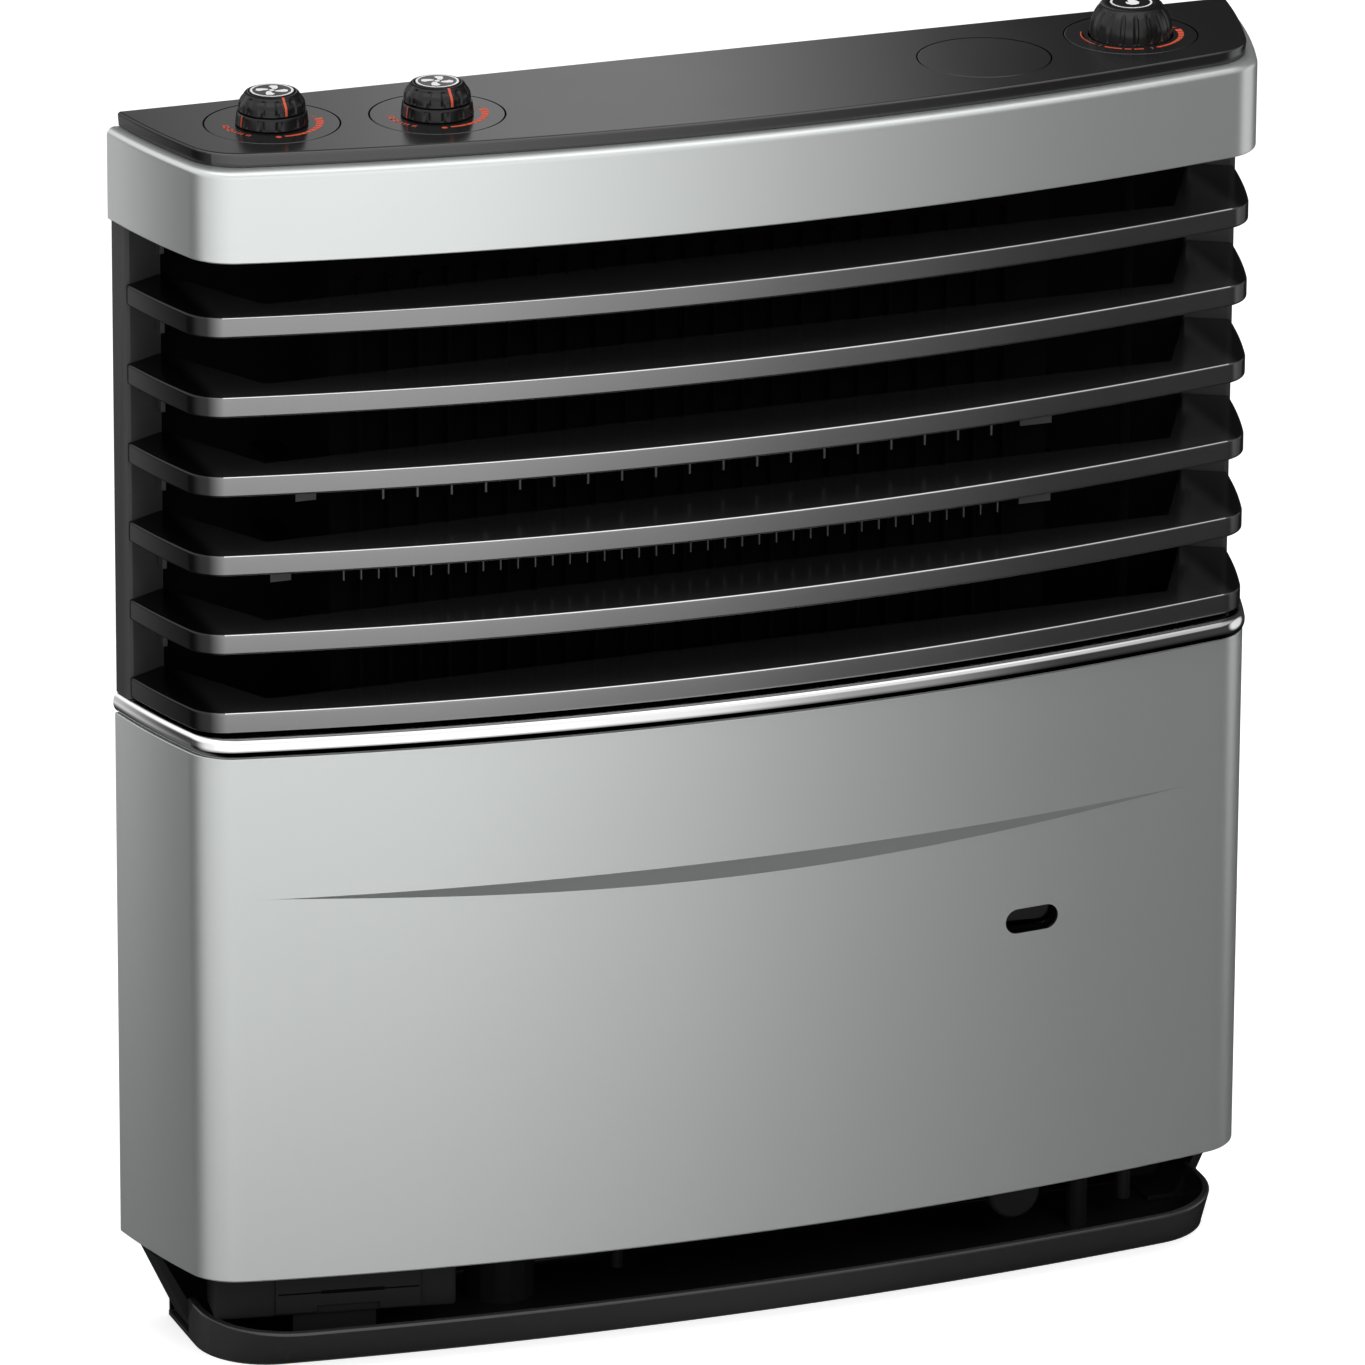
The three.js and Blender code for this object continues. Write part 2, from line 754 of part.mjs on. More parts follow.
// Left rear post: an upright from the foot cheek to the top band, with a wider face between the
// louvers, lugs that hold the casing shells, and a small clip in each gap
function rearPost(side) {
  const { faceSet, faceDepth, coreSet: core, innerDepth, clipWidth, clipDepth, clipHeight } = post;
  const inner = post.innerWidth + faceSet - halfCasing;
  const coreFront = faceDepth - core / 2;
  const coreOutline = [
    [sideX(casingPlan, core, 0), 0],
    [sideX(casingPlan, core, coreFront), -coreFront],
    [inner, -innerDepth],
    [inner, 0],
  ];
  const faceOutline = [...postFace(0), [inner, 0]];
  const parts = [
    extruded(
      coreOutline,
      panelBottom - cheek.belowPanel + clearance,
      bandTop - band.flangeThickness - clearance,
    ),
    extruded(faceOutline, trimTop + clearance, bandBottom - clearance),
  ];
  const panelInner = panel.sideSet + panel.wall + clearance;
  const bandInner = band.wall + clearance;
  const lugs = [
    [panelInner, panelBottom + post.lugHeight],
    [panelInner, panelTop - panel.wall - 2 * post.lugHeight],
    [bandInner, bandBottom + post.lugHeight],
  ];
  for (const [inward, z] of lugs) {
    const outline = [
      [sideX(casingPlan, inward, 0), 0],
      [sideX(casingPlan, inward, post.lugDepth), -post.lugDepth],
      [sideX(casingPlan, core, post.lugDepth) + overrun, -post.lugDepth],
      [sideX(casingPlan, core, 0) + overrun, 0],
    ];
    parts.push(extruded(outline, z, z + post.lugHeight));
  }
  for (let i = 0; i < louver.count; i++) {
    const middle = bandBottom - louver.pitch * (i + 1) + (louver.pitch + louver.thickness) / 2;
    parts.push(
      box(
        inner - clipWidth,
        inner,
        -innerDepth - clipDepth,
        -innerDepth / 2,
        middle - clipHeight / 2,
        middle + clipHeight / 2,
      ),
    );
  }
  const geometry = join(...parts);
  if (side > 0) return geometry;
  return outward(geometry.applyMatrix4(new THREE.Matrix4().makeScale(-1, 1, 1)));
}

// Half round bright strip on top of the front panel
function brightTrim() {
  const r = trim.height / 2;
  const middle = panelTop + clearance + r;
  const round = [];
  const steps = 2 * roundSteps;
  for (let i = 0; i <= steps; i++) {
    const angle = (3 * Math.PI) / 2 - (Math.PI * i) / steps;
    round.push([trim.proud + trim.proud * Math.cos(angle), middle + r * Math.sin(angle)]);
  }
  const profile = [...round, [trim.back, middle + r], [trim.back, middle - r]];
  return rim(
    profile.map(([inward, z]) => [trimPlan, inward, z]),
    0,
  );
}

// Height of the crease under its straight upper edge at x
function creaseHeight(x) {
  const share = Math.max(1 - (x / creaseHalf) ** 2, 0);
  return Math.max(crease.height * share ** crease.fullness, crease.leastHeight);
}

// Lower shell of the casing: its upper part stands proud of its lower part along the crease
function frontPanel() {
  const r = panel.edgeRadius;
  const edge = arc(r, panelTop - r, r, Math.PI, Math.PI / 2, edgeSteps);
  const wall = panel.wall;
  const profile = [
    [lowerPanelPlan, wall, () => panelBottom],
    [lowerPanelPlan, 0, () => panelBottom],
    [lowerPanelPlan, 0, (x) => creaseTop - creaseHeight(x)],
    [panelPlan, 0, () => creaseTop],
    ...edge.map(([inward, z]) => [panelPlan, inward, () => z]),
    [panelPlan, panel.flange, () => panelTop],
    [panelPlan, panel.flange, () => panelTop - wall],
    [panelPlan, wall, () => panelTop - wall],
    [panelPlan, wall, () => creaseTop],
    [lowerPanelPlan, wall, () => creaseTop - crease.height - wall],
  ];
  const paths = profile.map(([plan, inward]) => planPath(plan, inward, 0));
  const shell = loft(
    paths[0].map((_, j) =>
      profile.map(([, , height], i) => {
        const { x, y } = paths[i][j];
        return new THREE.Vector3(x, y, height(x));
      }),
    ),
  );
  return cut(shell, slotTool(0, frontY(panelPlan, 0) - overrun, -casing.depth / 2));
}

// Bar with round ends in the place of the sight slot, grown on every side
function slotTool(grow, y0, y1) {
  const half = sightSlot.length / 2 + grow;
  const r = sightSlot.height / 2 + grow;
  const outline = [];
  const steps = 2 * roundSteps;
  for (const end of [1, -1]) {
    for (let i = 0; i <= steps; i++) {
      const angle = (-end * Math.PI) / 2 + (Math.PI * i) / steps;
      outline.push([
        slotX + end * (half - r) + r * Math.cos(angle),
        slotZ + r * Math.sin(angle),
      ]);
    }
  }
  return extrudedBack(outline, y0, y1);
}

// Foot

// Shallow tray whose rim runs round the front and ends short of the side cheeks
function footTray() {
  const r = foot.lipRadius;
  const lip = arc(r, footTop - r, r, Math.PI, Math.PI / 2, edgeSteps);
  const wall = foot.wall;
  const profile = [
    [solePlan, wall, foot.floor / 2],
    [solePlan, 0, 0],
    ...lip.map(([inward, z]) => [lipPlan, inward, z]),
    [lipPlan, wall, footTop],
  ];
  const floor = slab([
    [solePlan, 0, 0, 0],
    [solePlan, 0, foot.floor, 0],
  ]);
  const below = -overrun;
  const above = foot.floor + overrun;
  const holes = [
    upright(duct.radius + pipe.hole, ductX, -burnerMiddle, below, above, hiddenSides),
    upright(pipe.radius + pipe.hole, pipeX, -pipeY, below, above, stemSides),
  ];
  return cut(join(floor, rim(profile, cheekFront + foot.rimGap)), ...holes);
}

// Side cheek: a folded sheet that leans out from the tray to a ledge under the rear post
function footCheek(side) {
  const t = cheek.thickness;
  const z0 = foot.floor + clearance;
  const z1 = panelBottom - cheek.belowPanel;
  const bottomX = solePlan.halfWidth - t;
  const topX = halfCasing - cheek.topSet;
  const outline = [
    [bottomX, z0],
    [topX, z1],
    [topX - cheek.ledge, z1],
    [topX - cheek.ledge, z1 - t],
    [topX - 2 * t, z1 - t],
    [bottomX - 2 * t, z0 + t],
    [bottomX - cheek.ledge / 2, z0 + t],
    [bottomX - cheek.ledge / 2, z0],
  ];
  return extrudedBack(
    outline.map(([x, z]) => [side * x, z]),
    -cheekFront,
    -backPanel.thickness - clearance,
  );
}

// Back

function backSheet() {
  const half = halfCasing - post.faceSet - post.innerWidth - clearance;
  const z0 = foot.floor + clearance;
  const z1 = bandTop - backPanel.topDrop;
  const sheet = box(-half, half, -backPanel.thickness, 0, z0, z1);
  return cut(
    sheet,
    plug(flue.radius + flue.hole, flueX, flueZ, -backPanel.thickness - overrun, overrun, hiddenSides),
  );
}

// Heat exchanger: a sheet box, open below onto the burner box, with upright fins on its front
function heatExchanger() {
  const y1 = -exchanger.backSet;
  const y0 = -exchangerFront;
  const z0 = exchangerBottom;
  const shell = box(-exchangerLeft, exchangerRight, y0, y1, z0, exchangerTop);
  const wall = exchanger.wall;
  const hollow = box(
    -exchangerLeft + wall,
    exchangerRight - wall,
    y0 + wall,
    y1 - wall,
    z0 - overrun,
    exchangerTop - wall,
  );
  const fins = [];
  const first = exchanger.finEnd - exchangerLeft;
  const last = exchangerRight - exchanger.finEnd;
  for (let x = first; x <= last; x += exchanger.finPitch) {
    fins.push(
      box(
        x,
        x + exchanger.finThickness,
        -finFront,
        y0 + wall / 2,
        z0 + exchanger.finEnd,
        exchangerTop - exchanger.finEnd,
      ),
    );
  }
  const window = slotTool(sightTube.wall + 2 * clearance, -finFront - overrun, y0);
  const sight = slotTool(-sightTube.wall, y0 - overrun, y0 + wall + overrun);
  const bore = flue.radius - flue.wall;
  const outlet = plug(bore, flueX, flueZ, y1 - wall - overrun, y1 + overrun, hiddenSides);
  return cut(join(shell, ...fins), hollow, window, sight, outlet);
}

function burnerTray() {
  const y1 = -exchanger.backSet;
  const y0 = -burnerBoxFront;
  const wall = burnerBox.wall;
  const shell = box(-burnerLeft, burnerRight, y0, y1, burnerBottom, burnerTop);
  const hollow = box(
    -burnerLeft + wall,
    burnerRight - wall,
    y0 + wall,
    y1 - wall,
    burnerBottom + wall,
    burnerTop + overrun,
  );
  const air = upright(
    duct.radius - duct.wall,
    ductX,
    -burnerMiddle,
    burnerBottom - overrun,
    burnerBottom + wall + overrun,
    hiddenSides,
  );
  const hole = electrode.radius + clearance;
  const lead = plug(hole, electrode.x, electrodeZ, y0 - overrun, y0 + wall + overrun, stemSides);
  return cut(shell, hollow, air, lead);
}

const burnerAxisZ = burnerBottom + burnerBox.wall + burner.footHeight + clearance;
const electrodeZ = burnerAxisZ + electrode.aboveBurner;

function burnerBar() {
  const halfLength = burnerRight - burnerBox.wall - burner.endGap;
  const pieces = [
    new THREE.CylinderGeometry(burner.radius, burner.radius, 2 * halfLength, hiddenSides)
      .rotateZ(Math.PI / 2)
      .translate(0, -burnerMiddle, burnerAxisZ),
  ];
  for (const side of [-1, 1]) {
    const x = side * (halfLength - burner.footWidth);
    pieces.push(
      box(
        x - burner.footWidth / 2,
        x + burner.footWidth / 2,
        -burnerMiddle - burner.radius,
        -burnerMiddle + burner.radius,
        burnerBottom + burnerBox.wall + clearance,
        burnerAxisZ,
      ),
    );
  }
  return join(...pieces);
}

// Toothed strip in front of the fins, on two legs that reach back to the back sheet
function finComb(z, pitch) {
  const bottom = z - comb.strip / 2;
  const top = z + comb.strip / 2;
  const left = comb.leftSet - halfCasing;
  const right = halfCasing - comb.rightSet;
  const outline = [
    [right, top],
    [left, top],
    [left, bottom],
  ];
  for (let x = left + comb.leftMargin; x <= right - comb.rightMargin; x += pitch) {
    outline.push(
      [x - comb.toothWidth / 2, bottom],
      [x - comb.toothWidth / 2, bottom - comb.tooth],
      [x + comb.toothWidth / 2, bottom - comb.tooth],
      [x + comb.toothWidth / 2, bottom],
    );
  }
  outline.push([right, bottom]);
  const strip = extrudedBack(outline, -combFront, -combFront + comb.thickness);
  const legs = [left, right - comb.legWidth].map((x) =>
    box(x, x + comb.legWidth, -combFront, -backPanel.thickness - clearance, top - comb.thickness, top),
  );
  return join(strip, ...legs);
}

const sightFront = frontY(panelPlan, slotX) + panel.wall + sightTube.panelGap;

// Short sleeve that leads the view from the slot to the burner, with a pane at its front
function sightSleeve() {
  const back = -exchangerFront - clearance;
  const seatBack = sightFront + sightTube.glass + sightTube.glassLip;
  const outer = slotTool(sightTube.wall, sightFront, back);
  const inner = slotTool(0, seatBack, back + overrun);
  const seat = slotTool(clearance - sightTube.glassLip, sightFront - overrun, seatBack + overrun);
  const pocket = slotTool(clearance, sightFront - overrun, sightFront + sightTube.glass + clearance);
  return cut(outer, inner, seat, pocket);
}

function sightPane() {
  return slotTool(0, sightFront, sightFront + sightTube.glass);
}

// Gas train

const valveBottom = panelBottom + valve.rise;
const valveTop = valveBottom + valve.height;
const gas = controls[3];

function gasValve() {
  const back = valveFront - valve.depth;
  const block = box(valveLeft, valveRight, -valveFront, -back, valveBottom, valveTop);
  const neck = box(
    valveLeft + valve.neck,
    valveRight - valve.neck,
    -back - overrun,
    -backPanel.thickness - clearance,
    valveBottom + valve.neck,
    valveTop - valve.neck,
  );
  const bossTop = valveTop + valve.bossHeight;
  const boss = upright(valve.boss, gas.x, gas.y, valveTop - overrun, bossTop, stemSides);
  const testNipple = upright(
    nipple.radius,
    valveLeft + nipple.inset,
    nipple.frontInset - valveFront,
    valveBottom - nipple.length,
    valveBottom + overrun,
    stemSides,
  );
  const bore = upright(
    rod.radius + clearance,
    gas.x,
    gas.y,
    valveTop - valve.bore,
    bossTop + overrun,
    stemSides,
  );
  return cut(join(block, neck, boss, testNipple), bore);
}

function inletPipe() {
  return upright(pipe.radius, pipeX, -pipeY, foot.floor / 2, valveBottom - clearance, stemSides);
}

// Pipe from the valve's side, down and across to the manifold
function feedPipe() {
  const highZ = valveBottom + pipe.bend;
  const lowZ = manifoldTop - pipe.bend;
  const middle = (manifoldRight + valveLeft) / 2;
  return tube(
    [
      new THREE.Vector3(valveLeft - clearance, -pipeY, highZ),
      new THREE.Vector3(middle, -pipeY, highZ),
      new THREE.Vector3(middle, -pipeY, lowZ),
      new THREE.Vector3(manifoldRight + clearance, -pipeY, lowZ),
    ],
    pipe.feedRadius,
    stemSides,
  );
}

function gasManifold() {
  return box(
    manifoldRight - manifold.length,
    manifoldRight,
    -manifoldFront,
    -manifoldFront + manifold.depth,
    manifoldTop - manifold.height,
    manifoldTop,
  );
}

// Round cover on the front of the manifold
function inspectionCap() {
  const { radius: r, bevel, thickness } = roundCap;
  const profile = [
    [0, 0],
    [r, 0],
    [r, thickness - bevel],
    [r - bevel, thickness],
    [0, thickness],
  ];
  return turned(profile, discSides)
    .rotateX(Math.PI / 2)
    .translate(manifoldRight - roundCap.inset, -manifoldFront - clearance, manifoldTop - roundCap.drop);
}

function roomSensor() {
  const top = burnerBottom - clearance;
  return upright(sensor.radius, sensorX, -sensorY, top - sensor.length, top, stemSides);
}

function airDuct() {
  const z0 = foot.floor / 2;
  const z1 = burnerBottom - clearance;
  const profile = [
    [duct.radius - duct.wall, z0],
    [duct.radius, z0],
    [duct.radius, z1],
    [duct.radius - duct.wall, z1],
  ];
  return turned(profile, hiddenSides).translate(ductX, -burnerMiddle, 0);
}

function flueCollar() {
  const length = exchanger.backSet - clearance;
  const profile = [
    [flue.radius - flue.wall, 0],
    [flue.radius, 0],
    [flue.radius, length],
    [flue.radius - flue.wall, length],
  ];
  return turned(profile, hiddenSides)
    .rotateX(Math.PI / 2)
    .translate(flueX, 0, flueZ);
}

// Bracket on the back sheet with an eye for the control rod
function rodGuide(z) {
  const half = rod.guideWidth / 2;
  const plate = box(
    gas.x - half,
    gas.x + half,
    gas.y - rod.radius - rod.guideMargin + overrun,
    -backPanel.thickness - clearance,
    z,
    z + rod.guideThickness,
  );
  const top = z + rod.guideThickness;
  return cut(plate, upright(rod.radius + clearance, gas.x, gas.y, z - overrun, top + overrun, stemSides));
}

// Igniter, laid out along its own front face and then turned to follow the tray's corner

const igniterGroup = new THREE.Group();
const igniterX = igniter.sideSet - halfCasing;
const igniterY = igniter.frontSet - lipPlan.depth;
igniterGroup.position.set(igniterX, igniterY, igniter.bottom);
igniterGroup.rotation.z = igniter.turn;
body.add(igniterGroup);

function igniterBox() {
  const half = igniter.length / 2;
  const block = box(-half, half, 0, igniter.depth, 0, igniter.height);
  const pocket = box(
    igniter.pocketX - igniter.pocketLength / 2,
    igniter.pocketX + igniter.pocketLength / 2,
    -overrun,
    igniter.depth - igniter.wall,
    igniter.pocketZ,
    igniter.pocketZ + igniter.pocketHeight,
  );
  return cut(block, pocket);
}

function batteryLid() {
  const half = lid.length / 2;
  const plate = box(
    igniter.pocketX - half,
    igniter.pocketX + half,
    -clearance - lid.thickness,
    -clearance,
    lid.lip,
    lid.lip + lid.height,
  );
  const notch = box(
    igniter.pocketX - lid.notchLength / 2,
    igniter.pocketX + lid.notchLength / 2,
    -clearance - lid.thickness - overrun,
    -clearance + overrun,
    lid.lip - overrun,
    lid.lip + lid.notchHeight,
  );
  return cut(plate, notch);
}

function batteryCell() {
  const half = battery.length / 2;
  const profile = [
    [0, -half],
    [battery.radius, -half],
    [battery.radius, half - battery.nubLength],
    [battery.nub, half - battery.nubLength],
    [battery.nub, half],
    [0, half],
  ];
  return turned(profile, stemSides)
    .rotateY(Math.PI / 2)
    .translate(
      igniter.pocketX,
      igniter.depth - igniter.wall - battery.radius - clearance,
      igniter.pocketZ + battery.radius + clearance,
    );
}

function igniterStand() {
  const half = stand.width / 2;
  const t = stand.thickness;
  const height = igniter.bottom - foot.floor - 2 * clearance;
  const outline = [
    [0, 0],
    [stand.depth, 0],
    [stand.depth, t],
    [t, t],
    [t, height - t],
    [stand.depth, height - t],
    [stand.depth, height],
    [0, height],
  ];
  const middle = (igniter.depth - stand.depth) / 2;
  const drop = height + clearance;
  return loft(
    [-half, half].map((x) => outline.map(([y, z]) => new THREE.Vector3(x, middle + y, z - drop))),
  );
}

// Round controls

// Outer ring of a two-part dial, with a hub that passes through the inset
function modeRing() {
  const z0 = plateTop + clearance;
  const { radius, topRadius, height, notch, rim: lip, pads, hub, flank } = dialRing;
  const levels = [
    [radius, 0, z0],
    [radius, notch, z0 + lip],
    [topRadius, notch, z0 + height - lip],
    [topRadius, 0, z0 + height - lip + flank],
    [topRadius - flank, 0, z0 + height],
  ];
  const under = plateTop - inset.thickness;
  const stem = upright(hub, 0, 0, under, z0 + lip, stemSides);
  const bore = upright(spindle.radius + clearance, 0, 0, under - overrun, z0 + height + overrun, stemSides);
  return cut(join(grip(levels, pads), stem), bore);
}

const ringTop = plateTop + clearance + dialRing.height;

// Recess on a knob for its cap
function capRecess(knobTopZ) {
  const floor = knobTopZ - dialCap.sunk - clearance;
  return upright(dialCap.radius + clearance, 0, 0, floor, knobTopZ + overrun, discSides);
}

// Inner knob of a two-part dial: a ribbed dome with a socket below and a recess on top
function speedKnob() {
  const z0 = ringTop + clearance;
  const { radius, topRadius, height, notch, rim: lip, pads, flank } = dialKnob;
  const domeAt = (share) => radius - (radius - topRadius) * share ** 2;
  const [middle, high] = dialKnob.padShares;
  const upper = height - lip - dialCap.sunk;
  const levels = [
    [radius, 0, z0],
    [radius, notch, z0 + lip],
    [domeAt(middle), notch, z0 + upper * middle],
    [domeAt(high), notch, z0 + upper],
    [domeAt(high), 0, z0 + upper + flank],
    [topRadius, 0, z0 + height],
  ];
  const socket = upright(spindle.radius + clearance, 0, 0, z0 - overrun, z0 + spindle.socket, stemSides);
  return cut(grip(levels, pads), capRecess(z0 + height), socket);
}

function capDisc(z) {
  const profile = [
    [0, z],
    [dialCap.radius, z],
    [dialCap.radius, z + dialCap.thickness],
    [0, z + dialCap.thickness],
  ];
  return turned(profile, discSides);
}

const canTop = plateTop - inset.thickness - clearance;

function switchHousing() {
  const bite = spindle.bite + clearance;
  const profile = [
    [0, canTop - switchCan.height],
    [switchCan.radius, canTop - switchCan.height],
    [switchCan.radius, canTop],
    [spindle.radius + clearance, canTop],
    [spindle.radius + clearance, canTop - bite],
    [0, canTop - bite],
  ];
  return turned(profile, hiddenSides);
}

function dialSpindle() {
  return upright(spindle.radius, 0, 0, canTop - spindle.bite, ringTop + spindle.socket, stemSides);
}

// Inset of the gas dial: a disc with a well that the knob sinks into
const wellRadius = gasKnob.radius + gasWell.gap;
const selectorDrop = gasKnob.sunk + gasKnob.travel + gasWell.stopGap;
const wellFloor = plateTop - selectorDrop - selector.thickness - clearance;

function gasInset() {
  const profile = [
    [rod.radius + clearance, wellFloor - gasWell.floor],
    [wellRadius + gasWell.wall, wellFloor - gasWell.floor],
    [wellRadius + gasWell.wall, plateTop - inset.thickness],
    [inset.radius, plateTop - inset.thickness],
    [inset.radius, plateTop],
    [wellRadius, plateTop],
    [wellRadius, wellFloor],
    [rod.radius + clearance, wellFloor],
  ];
  return turned(profile, discSides);
}

// Ring that the knob turns and slides in, with the notches of the settings
function selectorRing() {
  const z0 = wellFloor + clearance;
  const outer = wellRadius - gasWell.gap;
  const levels = [
    [outer, gasKnob.notch, z0],
    [outer, gasKnob.notch, z0 + selector.thickness],
  ];
  return cut(
    grip(levels, selector.notches),
    upright(selector.bore, 0, 0, z0 - overrun, z0 + selector.thickness + overrun, discSides),
  );
}

const knobBottom = plateTop - gasKnob.sunk;
const knobTop = plateTop + gasKnob.rise;
const knobRoof = knobTop - gasKnob.roof;

function gasKnobBody() {
  const { radius, topRadius, notch, flank, pads, padShares, boss, wall } = gasKnob;
  const height = knobTop - knobBottom;
  const domeAt = (share) => radius - (radius - topRadius) * share ** 2;
  const [middle, high] = padShares;
  const padTop = knobBottom + height * high;
  const levels = [
    [radius, notch, knobBottom],
    [domeAt(middle), notch, knobBottom + height * middle],
    [domeAt(high), notch, padTop],
    [domeAt(high), 0, padTop + flank],
    [topRadius, 0, knobTop],
  ];
  const under = knobBottom - overrun;
  const hollow = turned(
    [
      [boss, under],
      [radius - notch - wall, under],
      [radius - notch - wall, knobBottom + height / 3],
      [topRadius - wall, knobRoof],
      [boss, knobRoof],
    ],
    hiddenSides,
  );
  const socket = upright(rod.radius + clearance, 0, 0, under, knobRoof, stemSides);
  return cut(grip(levels, pads), hollow, socket, capRecess(knobTop));
}

// Coil spring between the well's floor and the knob's roof
function returnSpring() {
  const r = spring.wire / 2;
  const z0 = wellFloor + clearance + r;
  const z1 = knobRoof - clearance - r;
  const steps = spring.turns * spring.stepsPerTurn;
  const rings = [];
  for (let i = 0; i <= steps; i++) {
    const angle = (2 * Math.PI * i) / spring.stepsPerTurn;
    const z = z0 + ((z1 - z0) * i) / steps;
    const out = new THREE.Vector3(Math.cos(angle), Math.sin(angle), 0);
    rings.push(
      Array.from({ length: spring.sides }, (_, k) => {
        const turn = (2 * Math.PI * k) / spring.sides;
        return out
          .clone()
          .multiplyScalar(spring.radius + r * Math.cos(turn))
          .add(new THREE.Vector3(0, 0, z + r * Math.sin(turn)));
      }),
    );
  }
  return loft(rings);
}

function controlRod() {
  const bottom = valveTop - valve.bore + gasKnob.travel + clearance;
  return upright(rod.radius, 0, 0, bottom, knobRoof - clearance, stemSides);
}

function igniterLead() {
  const y0 = -burnerBoxFront - electrode.length / 3;
  return plug(electrode.radius, electrode.x, electrodeZ, y0, y0 + electrode.length, stemSides);
}

// Assembly

add("top_band", topBand(), silverPaint);
add("control_plate", controlPlate(), blackPlastic);
for (let i = 0; i < louver.count; i++) add("louver_" + (i + 1), louverBlade(i), blackPlastic);
add("rear_post_left", rearPost(1), blackPlastic);
add("rear_post_right", rearPost(-1), blackPlastic);
add("bright_trim", brightTrim(), chromePlate);
add("front_panel", frontPanel(), silverPaint);
add("foot_tray", footTray(), blackPlastic);
add("foot_cheek_left", footCheek(-1), darkSteel);
add("foot_cheek_right", footCheek(1), darkSteel);
add("back_sheet", backSheet(), darkSteel);
add("heat_exchanger", heatExchanger(), darkSteel);
add("fin_comb_lower", finComb(trimTop + comb.lowerRise, comb.lowerPitch), darkSteel);
add("fin_comb_upper", finComb(trimTop + comb.upperRise, comb.upperPitch), darkSteel);
add("sight_sleeve", sightSleeve(), darkSteel);
add("sight_pane", sightPane(), clearGlass);
add("burner_box", burnerTray(), darkSteel);
add("burner_bar", burnerBar(), bareSteel);
add("ignition_electrode", igniterLead(), ceramic);
add("gas_manifold", gasManifold(), darkSteel);
add("inspection_cap", inspectionCap(), darkSteel);
add("gas_valve", gasValve(), darkSteel);
add("gas_inlet_pipe", inletPipe(), darkSteel);
add("burner_feed_pipe", feedPipe(), darkSteel);
add("room_sensor", roomSensor(), darkSteel);
add("air_inlet_duct", airDuct(), darkSteel);
add("flue_collar", flueCollar(), bareSteel);
add("rod_guide_lower", rodGuide(trimTop - 2 * rod.guideWidth), darkSteel);
add("rod_guide_upper", rodGuide(bandBottom + rod.guideWidth / 2), darkSteel);

add("igniter_box", igniterBox(), blackPlastic, igniterGroup);
add("battery_lid", batteryLid(), blackPlastic, igniterGroup);
add("battery", batteryCell(), bareSteel, igniterGroup);
add("igniter_stand", igniterStand(), darkSteel, igniterGroup);

const [leftDial, secondDial, blankDial] = controls;
for (const dial of [leftDial, secondDial]) {
  const place = new THREE.Group();
  place.position.set(dial.x, dial.y, 0);
  body.add(place);
  add(dial.name + "_inset", dialInset(dialRing.hub + clearance), blackPlastic, place);
  add(dial.name + "_switch", switchHousing(), glossBlack, place);
  add(dial.name + "_spindle", dialSpindle(), bareSteel, place);
  add(dial.name + "_mode_ring", modeRing(), glossBlack, place);
  add(dial.name + "_speed_knob", speedKnob(), glossBlack, place);
  const capZ = ringTop + clearance + dialKnob.height - dialCap.sunk;
  add(dial.name + "_cap", capDisc(capZ), capBlack, place);
}
const blankPlace = new THREE.Group();
blankPlace.position.set(blankDial.x, blankDial.y, 0);
body.add(blankPlace);
add("blank_inset", dialInset(0), blackPlastic, blankPlace);

const gasPlace = new THREE.Group();
gasPlace.position.set(gas.x, gas.y, 0);
body.add(gasPlace);
add("gas_dial_inset", gasInset(), blackPlastic, gasPlace);
add("gas_selector_ring", selectorRing(), bareSteel, gasPlace);
add("gas_return_spring", returnSpring(), bareSteel, gasPlace);
add("gas_knob", gasKnobBody(), glossBlack, gasPlace);
add("gas_knob_cap", capDisc(knobTop - dialCap.sunk), capBlack, gasPlace);
add("control_rod", controlRod(), darkSteel, gasPlace);

export default heater;
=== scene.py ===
# %% [markdown]
# # A caravan gas heater, dressed for its picture
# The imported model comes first. It holds every real piece at its real size, so nothing in this
# lesson moves or resizes it. We read from it where the pieces are, and dress them.

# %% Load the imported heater
import json
import math

import bmesh
import bpy
from mathutils import Matrix, Vector


